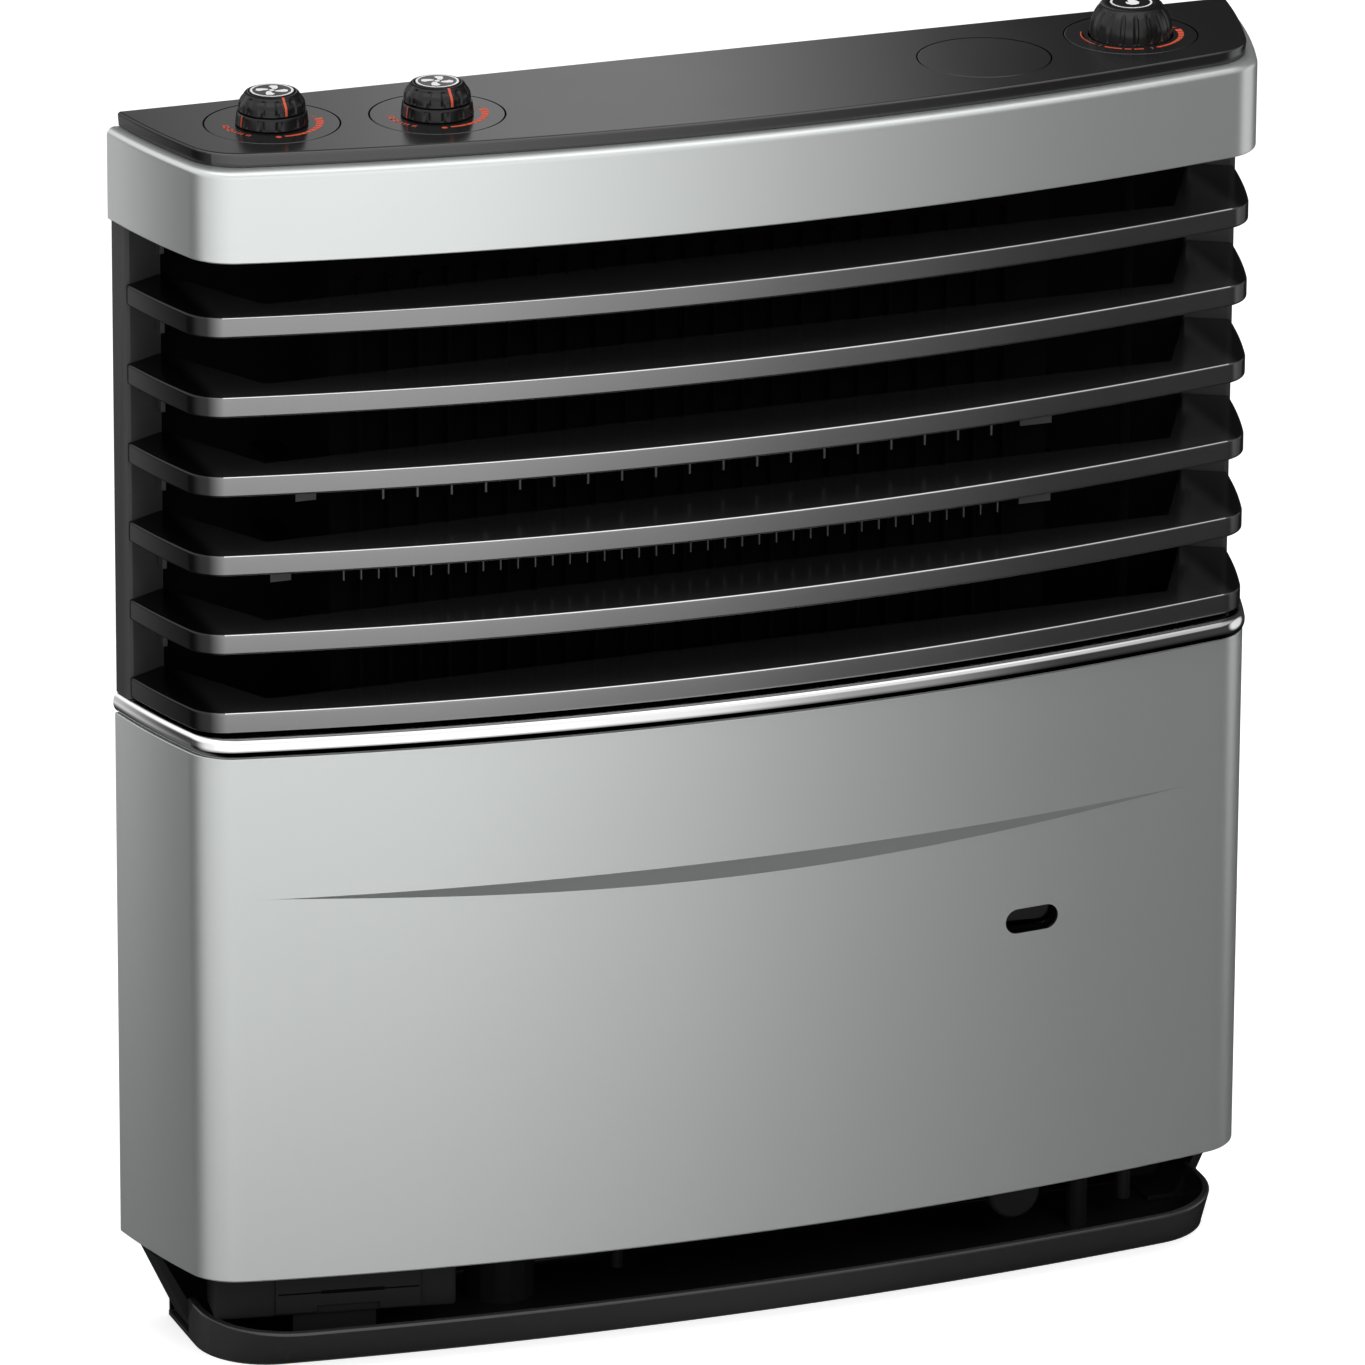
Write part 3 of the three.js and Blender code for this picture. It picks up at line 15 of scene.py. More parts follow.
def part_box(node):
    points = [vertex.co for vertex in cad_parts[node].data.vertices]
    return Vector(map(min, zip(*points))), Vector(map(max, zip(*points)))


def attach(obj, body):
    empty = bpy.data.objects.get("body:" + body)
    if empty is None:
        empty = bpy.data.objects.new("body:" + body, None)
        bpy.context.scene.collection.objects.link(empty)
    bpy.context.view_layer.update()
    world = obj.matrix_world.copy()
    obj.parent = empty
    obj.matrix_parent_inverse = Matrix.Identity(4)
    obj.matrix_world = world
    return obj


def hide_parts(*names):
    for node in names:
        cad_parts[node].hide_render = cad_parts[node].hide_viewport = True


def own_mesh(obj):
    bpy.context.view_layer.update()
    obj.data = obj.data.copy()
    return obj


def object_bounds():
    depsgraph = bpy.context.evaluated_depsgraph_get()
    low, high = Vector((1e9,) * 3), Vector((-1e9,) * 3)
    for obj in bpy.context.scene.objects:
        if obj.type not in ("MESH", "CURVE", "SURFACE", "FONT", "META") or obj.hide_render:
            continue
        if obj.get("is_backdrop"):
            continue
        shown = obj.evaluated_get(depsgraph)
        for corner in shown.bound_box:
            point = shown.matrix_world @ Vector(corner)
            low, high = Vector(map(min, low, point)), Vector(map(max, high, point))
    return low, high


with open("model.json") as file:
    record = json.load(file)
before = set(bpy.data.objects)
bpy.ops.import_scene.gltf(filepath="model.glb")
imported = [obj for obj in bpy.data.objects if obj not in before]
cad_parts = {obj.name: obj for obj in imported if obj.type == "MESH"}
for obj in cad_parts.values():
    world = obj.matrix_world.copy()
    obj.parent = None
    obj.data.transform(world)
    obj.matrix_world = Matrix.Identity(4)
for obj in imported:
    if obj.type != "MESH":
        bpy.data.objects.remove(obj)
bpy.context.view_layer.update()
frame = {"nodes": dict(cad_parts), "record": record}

MM = 0.001
record = frame["record"]
slot_of = {part["node"]: part["material_slot"] for part in record["subparts"]}

# %% [markdown]
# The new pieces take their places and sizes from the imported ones. We work in millimetres, as the
# makers of such a casing do, and these helpers read the box of a node in that unit.

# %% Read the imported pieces
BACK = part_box("top_band")[1].y / MM


def box_mm(node):
    """Lower and upper corner of a node's box."""
    low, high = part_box(node)
    return low / MM, high / MM


def middle_of(node):
    low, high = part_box(node)
    return (low + high) / 2 / MM


def levels(node):
    """Bottom and top of a node."""
    low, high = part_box(node)
    return low.z / MM, high.z / MM


def half_of(node):
    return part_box(node)[1].x / MM


def depth_of(node):
    """How far a node reaches in front of the back plane."""
    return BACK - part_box(node)[0].y / MM


print("back plane at", round(BACK, 2), "mm, top at", round(levels("gas_knob_cap")[1], 1), "mm")

# %% [markdown]
# ## Finishes start alike
# Every finish is a Principled shader wired to an output. Nodes are made by one helper, which gives
# each input either a plain value or the socket that feeds it, so that a finish reads as a list.

# %% Helpers for materials
materials = {}


def feed(node, inputs):
    """Gives each input of a node a plain value or a link from a socket."""
    for key, value in inputs.items():
        if isinstance(value, bpy.types.NodeSocket):
            node.id_data.links.new(value, node.inputs[key])
        else:
            node.inputs[key].default_value = value


def new_node(tree, kind, inputs=None, **settings):
    node = tree.nodes.new("ShaderNode" + kind)
    for key, value in settings.items():
        setattr(node, key, value)
    feed(node, inputs or {})
    return node


def mix_of(share, first, second, kind="MIX"):
    """The colour between two others; a colour Mix node has them at inputs 6 and 7."""
    inputs = {0: share, 6: first, 7: second}
    return new_node(first.id_data, "Mix", inputs, data_type="RGBA", blend_type=kind).outputs[2]


def new_finish(name, colour, roughness, metallic=0.0, specular=0.5):
    """A material with one Principled shader, ready for its textures."""
    material = bpy.data.materials.new(name)
    material.use_nodes = True
    tree = material.node_tree
    tree.nodes.clear()
    values = {"Base Color": (*colour, 1), "Roughness": roughness, "Metallic": metallic}
    shader = new_node(tree, "BsdfPrincipled", {**values, "Specular IOR Level": specular})
    new_node(tree, "OutputMaterial", {"Surface": shader.outputs["BSDF"]})
    materials[name] = material
    print("finish", name)
    return shader


def grey(value, warmth=0.0):
    """A near-neutral colour; warmth moves it towards red."""
    return (value * (1 + warmth), value, value * (1 - warmth))


print("a warm grey", grey(0.5, 0.1))

# %% [markdown]
# ## Grain that several finishes share
# Paint, moulded plastic and heat-proof lacquer all vary in the same two ways: broad faint patches
# in colour and gloss, and a very fine grain that catches light. One node group makes both, and
# each finish places it with its own sizes. Object coordinates are used, because they are metres.

# %% The surface grain group
COLOURS = ("Colour", "Patch Colour")
RANGE = ("Smooth Roughness", "Rough Roughness")
SCALES = ("Patch Scale", "Grain Scale")


def noise_of(place, scale, detail):
    inputs = {"Vector": place, "Scale": scale, "Detail": detail}
    return new_node(place.id_data, "TexNoise", inputs).outputs["Fac"]


def make_grain_group():
    group = bpy.data.node_groups.new("surface_grain", "ShaderNodeTree")
    sockets = [(name, "INPUT", "NodeSocketColor") for name in COLOURS]
    sockets += [(name, "INPUT", "NodeSocketFloat") for name in RANGE + SCALES]
    sockets += [("Colour", "OUTPUT", "NodeSocketColor")]
    sockets += [(name, "OUTPUT", "NodeSocketFloat") for name in ("Roughness", "Height")]
    for name, way, kind in sockets:
        group.interface.new_socket(name, in_out=way, socket_type=kind)
    given = group.nodes.new("NodeGroupInput").outputs
    place = new_node(group, "TexCoord").outputs["Object"]
    patches, grain = noise_of(place, given[SCALES[0]], 3), noise_of(place, given[SCALES[1]], 2)
    ends = {"To Min": given[RANGE[0]], "To Max": given[RANGE[1]]}
    rough = new_node(group, "MapRange", {"Value": patches, **ends}).outputs["Result"]
    colour = mix_of(patches, given["Colour"], given["Patch Colour"])
    made = {"Colour": colour, "Roughness": rough, "Height": grain}
    feed(group.nodes.new("NodeGroupOutput"), made)
    return group


grain_group = make_grain_group()
print("grain group sockets", len(grain_group.interface.items_tree))


# %% [markdown]
# A finish that uses the group gets its colour, roughness and bump from it. The bump distance is
# the real height of the grain, a few thousandths of a millimetre up to a few hundredths.

# %% Place the grain in a finish
GRAIN_STRENGTH = 0.6


def grained(name, colour, patch, smooth, rough, patch_scale=12, grain_scale=900, height=0.02,
            metallic=0.0, specular=0.5):
    """A finish between two colours and two roughnesses; the grain's height is in millimetres."""
    shader = new_finish(name, colour, smooth, metallic, specular)
    tree = shader.id_data
    values = ((*colour, 1), (*patch, 1), smooth, rough, patch_scale, grain_scale)
    inputs = dict(zip(COLOURS + RANGE + SCALES, values))
    grain = new_node(tree, "Group", inputs, node_tree=grain_group).outputs
    inputs = {"Distance": height * MM, "Strength": GRAIN_STRENGTH, "Height": grain["Height"]}
    normal = new_node(tree, "Bump", inputs).outputs["Normal"]
    feed(shader, {"Base Color": grain["Colour"], "Roughness": grain["Roughness"], "Normal": normal})
    return shader


def painted_shade_ends(shader, start, end, value):
    """Darkens a finish from one distance from the middle plane to another, in metres, as painted
    shade.
    """
    tree = shader.id_data
    place = new_node(tree, "TexCoord").outputs["Object"]
    across = new_node(tree, "SeparateXYZ", {0: place}).outputs["X"]
    away = new_node(tree, "Math", {0: across}, operation="ABSOLUTE").outputs[0]
    inputs = {"Value": away, "From Min": start, "From Max": end}
    share = new_node(tree, "MapRange", inputs).outputs["Result"]
    plain = shader.inputs["Base Color"].links[0].from_socket
    feed(shader, {"Base Color": mix_of(share, plain, (*grey(value), 1))})


print("grain strength", GRAIN_STRENGTH)

# %% [markdown]
# ## The finishes
# Band and front panel are sheet steel in silver lacquer: metal flakes under a clear coat. The
# flakes make it partly metallic, so it brightens and darkens across the bowed front. Each finish
# names its colour and patch colour, two roughnesses, the scales of patches and grain, its height.

# %% Silver lacquer
silver, silver_patch = (0.640, 0.665, 0.655), (0.620, 0.645, 0.635)
shader = grained("silver_paint", silver, silver_patch, 0.27, 0.30, 8, 2600, 0.003, metallic=0.70)
feed(shader, {"Coat Weight": 0.1, "Coat Roughness": 0.2})

# %% [markdown]
# The plate, louvers and foot are moulded in black plastic with a satin skin. The dials are the
# same plastic, polished a little more, so that their ribs catch light. The louvers' skin is
# lacquered, and mirrors the room. Towards their ends, and at the outer edge of the rear post, the
# light falls off quickly, and a darker base colour paints that shade. The left rear post, the
# comb tabs and the foot's rim get lighter blacks, which are painted light.

# %% Black plastics
grained("black_plastic", grey(0.012), grey(0.015), 0.27, 0.33, 20, 1800, 0.008, specular=0.8)
shader = grained("louver_black", grey(0.20), grey(0.23), 0.17, 0.21, 20, 1800, 0.0015, metallic=0.9)
# painted shade: the louvers' colour darkens towards their ends
painted_shade_ends(shader, 0.250, 0.257, 0.03)
# painted highlight: a pale finish for the upper round of the louver fronts
grained("louver_painted_highlight", grey(0.80), grey(0.74), 0.17, 0.22, 20, 1800, 0.0015, metallic=0.9)
grained("plate_black", grey(0.010), grey(0.013), 0.18, 0.23, 20, 2200, 0.003, specular=0.9)
# painted light: the foot's rim is a lighter black than the plastic of the tray's floor
grained("foot_black_painted_light", grey(0.030), grey(0.036), 0.20, 0.26, 20, 2000, 0.004)
# painted light: a lighter black for the lit left rear post and the comb's end tabs
shader = grained("post_black_painted_light", grey(0.070), grey(0.085), 0.45, 0.55, 20, 1800, 0.006, specular=0.3)
# painted shade: the post's colour darkens at its outer edge
painted_shade_ends(shader, 0.2770, 0.2785, 0.035)
grained("gloss_black", grey(0.007), grey(0.010), 0.18, 0.24, 60, 2500, 0.006, specular=0.3)
grained("cap_black", grey(0.010), grey(0.013), 0.16, 0.22, 60, 2500, 0.004)

# %% [markdown]
# Bright metal needs little colour of its own, because it shows what stands round it. The trim is
# plated and smooth; spindles and fittings are plain metal with faint marks. Steel inside the
# casing wears a dull heat-proof black, so that the gaps between the louvers stay dark. The same
# near black is also painted shade on the walls of the seams, holes and sight slot, on the comb
# strips and on the front of the back sheet.

# %% Metals
grained("chrome_plate", grey(0.86), grey(0.82), 0.05, 0.09, 15, 700, 0.002, metallic=1.0)
grained("bare_steel", grey(0.30), grey(0.24), 0.36, 0.48, 70, 1500, 0.01, metallic=1.0)
# near black for steel inside the casing, and painted shade in seams, holes and the sight slot
grained("heatproof_black_and_shade", grey(0.0015), grey(0.0025), 0.8, 0.9, 25, 1400, 0.03, specular=0.04)
grained("comb_steel", grey(0.15), grey(0.11), 0.42, 0.50, 60, 1500, 0.005, metallic=0.9)
grained("dark_steel", grey(0.006), grey(0.010), 0.62, 0.74, 25, 1400, 0.03, specular=0.25)
grained("back_black", grey(0.024), grey(0.040), 0.60, 0.75, 14, 900, 0.02, specular=0.2)

# %% [markdown]
# The pane behind the sight slot is glass, and the electrode's sleeve is white glazed ceramic.

# %% Glass and ceramic
shader = grained("clear_glass", grey(0.02), grey(0.03), 0.03, 0.06, 30, height=0.001, specular=0.1)
feed(shader, {"Transmission Weight": 1.0, "IOR": 1.5})
grained("white_ceramic", grey(0.72, 0.03), grey(0.66, 0.03), 0.2, 0.3, 90)

# %% [markdown]
# Printed marks are a thin film of ink. Red ink marks the scales and pointers, white ink the caps.

# %% Inks
grained("red_ink", (0.72, 0.085, 0.03), (0.62, 0.07, 0.025), 0.45, 0.55, 200)
grained("white_ink", grey(0.92), grey(0.86), 0.4, 0.5, 200)
print("finishes", sorted(materials))

# %% [markdown]
# ## Turning points into pieces
# Most shells here are rows of points joined by faces: one row for each corner of the profile, and
# one point in the row for each station along the bow. Faces between rows that meet at a small
# angle are shaded smooth, and sharp edges get a small round, because no real edge is sharp.

# %% Make a piece from a mesh
SHARP = math.radians(30)
EDGE_SEGMENTS = 2


def put(name, data):
    """A new object in the scene."""
    piece = bpy.data.objects.new(name, data)
    bpy.context.collection.objects.link(piece)
    return piece


def new_object(name, shape, finish=None):
    """An object from a bmesh, which is used up."""
    mesh = bpy.data.meshes.new(name)
    shape.to_mesh(mesh)
    shape.free()
    if finish:
        mesh.materials.append(materials[finish])
    return put(name, mesh)


def loop_of(shape, points):
    return [shape.verts.new(point) for point in points]


def to_metres(shape):
    bmesh.ops.scale(shape, vec=(MM, MM, MM), verts=shape.verts)


def round_edges(piece, width, angle):
    """Rounds the edges that are sharper than an angle; the width is in millimetres."""
    rounding = piece.modifiers.new("edge_round", "BEVEL")
    rounding.width = width * MM
    rounding.segments = EDGE_SEGMENTS
    rounding.limit_method = "ANGLE"
    rounding.angle_limit = angle


def finish_piece(name, shape, finish, node=None, body="casing", bevel=0.0, sharp=SHARP):
    """Turns a bmesh in millimetres into a piece that rides on a body, in place of a node."""
    bmesh.ops.recalc_face_normals(shape, faces=shape.faces)
    to_metres(shape)
    for face in shape.faces:
        face.smooth = True
    for edge in shape.edges:
        edge.smooth = edge.calc_face_angle(0) < sharp
    piece = new_object(name, shape, finish)
    if bevel:
        round_edges(piece, bevel, sharp)
    weights = piece.modifiers.new("even_shading", "WEIGHTED_NORMAL")
    weights.keep_sharp = not bevel
    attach(piece, body)
    if node:
        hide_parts(node)
    print("made", name, "with", len(piece.data.polygons), "faces")
    return piece


def repaint(piece, finish, where):
    """Gives the faces that pass a test another finish."""
    index = len(piece.data.materials)
    piece.data.materials.append(materials[finish])
    for face in piece.data.polygons:
        if where(face):
            face.material_index = index


# %% [markdown]
# The band and the panel are lacquered outside only. Seen from behind, their inner faces are dull
# steel, so a test on the direction of each face sorts the inside from the outside.

# %% Shells, loops and insides
INNER_TURN = 0.3


def dull_inside(piece):
    """The inner faces of a shell wear dull steel, not the finish of its outside."""
    repaint(piece, "dark_steel", lambda face: face.normal.y > INNER_TURN
            or face.normal.x * face.center.x < -INNER_TURN * abs(face.center.x))


def skin_rows(rows):
    """A bmesh through rows of points, from the first round to the last and back to the first."""
    shape = bmesh.new()
    verts = [loop_of(shape, row) for row in rows]
    for here, there in zip(verts, verts[1:] + verts[:1]):
        for j in range(len(here) - 1):
            shape.faces.new((here[j], here[j + 1], there[j + 1], there[j]))
    shape.faces.new([row[0] for row in verts])
    shape.faces.new([row[-1] for row in reversed(verts)])
    return shape


def bridge(shape, first, second):
    """Faces between two closed loops of vertices."""
    for i in range(len(first)):
        j = (i + 1) % len(first)
        shape.faces.new((first[i], first[j], second[j], second[i]))


def bridge_all(shape, rings):
    """Faces between rings that run round a closed section."""
    for first, second in zip(rings, rings[1:] + rings[:1]):
        bridge(shape, first, second)


def upright_sheet(outline_xz, y0, y1):
    """A sheet that faces the front, between two depths, from its outline in x and z."""
    shape = bmesh.new()
    ends = [loop_of(shape, [(x, y, z) for x, z in outline_xz]) for y in (y0, y1)]
    bridge(shape, *ends)
    shape.faces.new(list(reversed(ends[0])))
    shape.faces.new(ends[1])
    return shape


print("edges sharper than", round(math.degrees(SHARP)), "degrees stay sharp")

# %% [markdown]
# ## The plan of the casing
# Seen from above, every layer of the casing has the same kind of outline: sides that bulge a
# little and lean in, two round corners, and a bowed front on a long radius. One function gives
# that outline, moved inward by any distance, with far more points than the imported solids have.

# %% Plan outlines
SIDE_STEPS = 10
CORNER_STEPS = 14
FRONT_STEPS = 64
LEAST_CORNER = 0.4


def plan_of(half, depth, corner, radius=1200.0, slope=0.16, side=400.0):
    return dict(half=half, depth=depth, corner=corner, radius=radius, slope=slope, side=side)


def between(start, end, steps):
    """Values from start to end in even steps, with both ends."""
    return [start + (end - start) * i / steps for i in range(steps + 1)]


def swing(x, y, radius, a):
    """The point at a radius and an angle from a middle."""
    return x + radius * math.cos(a), y + radius * math.sin(a)


def turn_to(middle, point):
    return math.atan2(point.y - middle.y, point.x - middle.x) % math.tau


def on_arc(middle, radius, start, end, steps):
    turns = between(start, end, steps)[1:]
    return [middle + Vector((math.cos(a), math.sin(a))) * radius for a in turns]


def side_centre(plan):
    lean = math.atan(plan["slope"])
    return Vector((plan["side"] * math.cos(lean) - plan["half"], plan["side"] * math.sin(lean)))


def side_x(plan, inward, back):
    """x of the left side, moved inward, at a distance in front of the back plane."""
    middle = side_centre(plan)
    return middle.x - math.sqrt((plan["side"] - inward) ** 2 - (middle.y + back) ** 2)


def mirrored(left):
    """Points of the left half and their mirror images, up to the right end."""
    return left + [Vector((-p.x, p.y)) for p in reversed(left[:-1])]


def outline(plan, inward=0.0, back=0.0):
    """Points of the plan moved inward, from the left end at the back round to the right end."""
    side = side_centre(plan)
    front = Vector((0, plan["radius"] - plan["depth"]))
    side_radius, front_radius = plan["side"] - inward, plan["radius"] - inward
    corner = max(plan["corner"] - inward, LEAST_CORNER)
    link = front - side
    reach = link.length
    along = ((side_radius - corner) ** 2 - (front_radius - corner) ** 2 + reach**2) / (2 * reach)
    across = math.sqrt((side_radius - corner) ** 2 - along**2)
    centre = side + link * (along / reach) + Vector((-link.y, link.x)) * (across / reach)
    start = Vector((side_x(plan, inward, back), -back))
    side_turn, front_turn = turn_to(side, centre), turn_to(front, centre)
    left = [start]
    left += on_arc(side, side_radius, turn_to(side, start), side_turn, SIDE_STEPS)
    left += on_arc(centre, corner, side_turn, front_turn, CORNER_STEPS)
    left += on_arc(front, front_radius, front_turn, 1.5 * math.pi, FRONT_STEPS // 2)
    return mirrored(left)


print("an outline has", 2 * (SIDE_STEPS + CORNER_STEPS + FRONT_STEPS // 2) + 1, "points")


# %% [markdown]
# A profile lists the corners of a section as pairs: how far inward from the plan, and how high.
# Each pair becomes one row of points round the casing, so a rounded edge is just more pairs.

# %% Rows and profiles
LEFT, UP, DOWN = math.pi, math.pi / 2, 3 * math.pi / 2


def row(plan, inward, z, back=0.0, set_back=None):
    """A row of points round the plan; z is one height or a function of x."""
    height = z if callable(z) else lambda x: z
    retreat = set_back or (lambda x: 0.0)
    points = outline(plan, inward, back)
    return [Vector((p.x, p.y + retreat(p.x) + BACK, height(p.x))) for p in points]


def rows_of(plan, profile, **shift):
    return [row(plan, inward, z, **shift) for inward, z in profile]


def quarter(centre_in, centre_z, radius, start, end, steps):
    """Points of a rounded edge in a profile, as (inward, z)."""
    return [swing(centre_in, centre_z, radius, a) for a in between(start, end, steps)]


def lower_edge(bottom, radius, steps):
    return quarter(radius, bottom + radius, radius, DOWN, LEFT, steps)


def upper_edge(top, radius, steps):
    return quarter(radius, top - radius, radius, LEFT, UP, steps)


CASING_HALF = half_of("top_band")
GAP = 0.3
band_plan = plan_of(CASING_HALF, depth_of("top_band"), 26)
plate_plan = plan_of(half_of("control_plate") + 1.2, depth_of("control_plate") + 1.0, 28)
louver_plan = plan_of(CASING_HALF - 2.5, depth_of("louver_1"), 20)
panel_plan = plan_of(half_of("front_panel"), depth_of("front_panel"), 26)
trim_plan = plan_of(half_of("bright_trim"), depth_of("bright_trim"), 26)
lip_half, lip_depth = half_of("foot_tray") - 5.4, depth_of("foot_tray")
lip_plan = plan_of(lip_half, lip_depth, 45, radius=1780, slope=0, side=4000)
sole_plan = {**lip_plan, "half": lip_half - 0.6, "depth": lip_depth - 14.5, "corner": 36}
print("stations", len(outline(band_plan)))

# %% [markdown]
# ## Top band
# The band is one strip of folded sheet with a generous round on its upper edge and a flange that
# the control plate lies on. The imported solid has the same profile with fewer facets.

# %% Top band
def top_band():
    bottom, top = levels("top_band")
    wall, round_edge, flange, bevel = 2.4, 3.8, 17.0, 0.8
    profile = [*lower_edge(bottom, bevel, 3), *upper_edge(top, round_edge, 10)]
    profile += [(flange, top), (flange, top - wall), (round_edge, top - wall)]
    profile += [(wall, top - round_edge), (wall, bottom)]
    shape = skin_rows(rows_of(band_plan, profile))
    dull_inside(finish_piece("top_band_shell", shape, "silver_paint", "top_band"))


top_band()

# %% [markdown]
# ## Bright trim
# A half round strip lies between the louvers and the panel. A true half circle in its section
# gives the thin white line and the dark line under it that polished metal shows.

# %% Bright trim
def bright_trim():
    bottom, top = levels("bright_trim")
    radius, proud, depth, steps = (top - bottom) / 2, 3.0, 8.0, 16
    profile = [
        (proud + proud * math.cos(a), bottom + radius + radius * math.sin(a))
        for a in between(DOWN, UP, steps)
    ]
    shape = skin_rows(rows_of(trim_plan, [*profile, (depth, top), (depth, bottom)]))
    finish_piece("bright_trim_strip", shape, "chrome_plate", "bright_trim")


bright_trim()

# %% [markdown]
# ## Louvers
# Each louver is a bowed shelf with a deeper front edge, and two arms that reach back to the rear
# posts. Its inner edge is a straight line with slanted ends, so one more row of points follows
# that line, spaced as the outer stations are.

# %% The inner edge of a louver
OPENING_HALF = CASING_HALF - 55.5
OPENING_FRONT = louver_plan["depth"] - 39.3
POST_DEPTH, POST_EDGE, POST_INWARD, POST_INNER = 12.5, 2.5, 1.6, 24.6 - CASING_HALF
ARM_BACK = 2.3


def spread(corners, count):
    """Points along a bent line, evenly spaced."""
    lengths = [(b - a).length for a, b in zip(corners, corners[1:])]
    points = []
    for rest in between(0, sum(lengths), count - 1):
        for a, b, length in zip(corners, corners[1:], lengths):
            if rest <= length or b is corners[-1]:
                points.append(a.lerp(b, min(rest / length, 1)))
                break
            rest -= length
    return points


def inner_row(z):
    """The inner edge of a louver, from its left arm round to its right arm."""
    outer = side_x(band_plan, POST_INWARD, POST_DEPTH) + POST_EDGE + GAP
    arm = [Vector((outer, -POST_DEPTH - GAP)), Vector((POST_INNER, -ARM_BACK - GAP))]
    arm.append(Vector((-OPENING_HALF, -OPENING_FRONT)))
    left = spread(arm, SIDE_STEPS + CORNER_STEPS + 1)
    left += [Vector((x, -OPENING_FRONT)) for x in between(-OPENING_HALF, 0, FRONT_STEPS // 2)[1:]]
    return [Vector((p.x, p.y + BACK, z)) for p in mirrored(left)]


print("points along an arm", SIDE_STEPS + CORNER_STEPS + 1)

# %% [markdown]
# The upper round of each front edge mirrors the brightest part of the room as one thin line. A
# paler finish on just those faces, a painted highlight, keeps the line clear at every distance.

# %% Louvers
LIT_HALF = 0.250
LIT_LOW, LIT_HIGH = 0.6, 0.8


def louver(number):
    node = f"louver_{number}"
    bottom, top = levels(node)
    lip, shelf, r, start = 4.0, 3.2, 1.3, POST_DEPTH + GAP
    profile = [(lip, bottom), *lower_edge(bottom, r, 4), *upper_edge(top, r, 5)]
    rows = rows_of(louver_plan, profile, back=start)
    rows += [inner_row(top), inner_row(top - shelf)]
    rows += rows_of(louver_plan, [(lip, top - shelf)], back=start)
    shape = skin_rows(rows)
    piece = finish_piece(f"{node}_blade", shape, "louver_black", node)
    # painted highlight on the upper round of the front edge
    repaint(piece, "louver_painted_highlight", lambda face: LIT_LOW < face.normal.z < LIT_HIGH
            and abs(face.center.x) < LIT_HALF)


for number in range(1, 7):
    louver(number)

# %% [markdown]
# ## Front panel
# The upper part of the panel stands proud of the lower part along one long crease, deepest in
# the middle and fading out at both ends. Below the crease the rows step back, and the sight slot
# is cut out afterwards.

# %% Cut one shape out of another
def cut_away(shape, tool):
    """The first shape without the second, as a new bmesh."""
    for part in (shape, tool):
        bmesh.ops.recalc_face_normals(part, faces=part.faces)
    body, cutter = new_object("cut_body", shape), new_object("cut_tool", tool)
    step = body.modifiers.new("cut", "BOOLEAN")
    step.operation, step.object, step.solver = "DIFFERENCE", cutter, "EXACT"
    bpy.context.view_layer.update()
    cut_mesh = body.evaluated_get(bpy.context.evaluated_depsgraph_get()).to_mesh()
    result = bmesh.new()
    result.from_mesh(cut_mesh)
    print("cut", len(result.faces), "faces left")
    for used in (body, cutter):
        bpy.data.objects.remove(used)
    return result


# %% Front panel
CREASE_DROP, CREASE_HALF, CREASE_HIGH, CREASE_STEP = 70.5, CASING_HALF - 49.5, 9.3, 2.3
CREASE_CURVE, CREASE_LEAST = 1.3, 0.05
SLOT = middle_of("sight_pane")
SLOT_HALF, SLOT_ROUND, SLOT_STEPS, OVERRUN = 14.0, 6.2, 12, 0.1


def crease_share(x):
    return max(1 - (x / CREASE_HALF) ** 2, 0)


def slot_outline():
    """Two half circles, from the lower end of the right one round to its start."""
    points = []
    for end in (1, -1):
        middle, start = SLOT.x + end * (SLOT_HALF - SLOT_ROUND), -end * UP
        for a in between(start, start + math.pi, SLOT_STEPS):
            points.append(swing(middle, SLOT.z, SLOT_ROUND, a))
    return points


def in_slot(face):
    off = face.center / MM - SLOT
    near = abs(off.x) < SLOT_HALF + OVERRUN and abs(off.z) < SLOT_ROUND + OVERRUN
    return near and abs(face.normal.y) < 0.3


def front_panel():
    bottom, top = levels("front_panel")
    crease, wall, flange = top - CREASE_DROP, 2.0, 8.0
    stepped = {"set_back": lambda x: CREASE_STEP * crease_share(x)}
    under = lambda x: crease - max(CREASE_HIGH * crease_share(x) ** CREASE_CURVE, CREASE_LEAST)
    supports = (bottom + 40, bottom + 90, SLOT.z - 12, SLOT.z + 12, crease - 22, under)
    lower = [(wall, bottom), *lower_edge(bottom, 0.8, 3), *((0, z) for z in supports)]
    upper = [(0, crease), (0, crease + 20), *upper_edge(top, 0.5, 5)]
    upper += [(flange, top), (flange, top - wall), (wall, top - wall), (wall, crease)]
    rows = rows_of(panel_plan, lower, **stepped) + rows_of(panel_plan, upper)
    rows += rows_of(panel_plan, [(wall, crease - CREASE_HIGH - wall)], **stepped)
    front, reach = BACK - panel_plan["depth"], 30
    shape = cut_away(skin_rows(rows), upright_sheet(slot_outline(), front - 4, front + reach))
    name, sharp = "front_panel_shell", math.radians(12)
    piece = finish_piece(name, shape, "silver_paint", "front_panel", sharp=sharp)
    # painted shade: the walls of the sight slot are near black
    repaint(piece, "heatproof_black_and_shade", in_slot)
    dull_inside(piece)


front_panel()

# %% [markdown]
# ## Control plate and insets
# The plate is a shallow black lid with four round openings. Its top is flat, so it is filled
# between the outer loop and the four circles. Each opening holds a disc with a fine dark seam.

# %% Flat sheets with round holes
ROUND_STEPS = 96
UPRIGHT = 0.3


def circle_points(x, y, z, radius):
    return [Vector((*swing(x, y, radius, a), z)) for a in between(0, math.tau, ROUND_STEPS)[:-1]]


def fill_between(shape, *loops):
    """Fills the flat area between closed loops of vertices that are already in the shape."""
    edges = []
    for loop in loops:
        for a, b in zip(loop, loop[1:] + loop[:1]):
            edges.append(shape.edges.get((a, b)) or shape.edges.new((a, b)))
    bmesh.ops.triangle_fill(shape, use_beauty=True, use_dissolve=False, edges=edges)


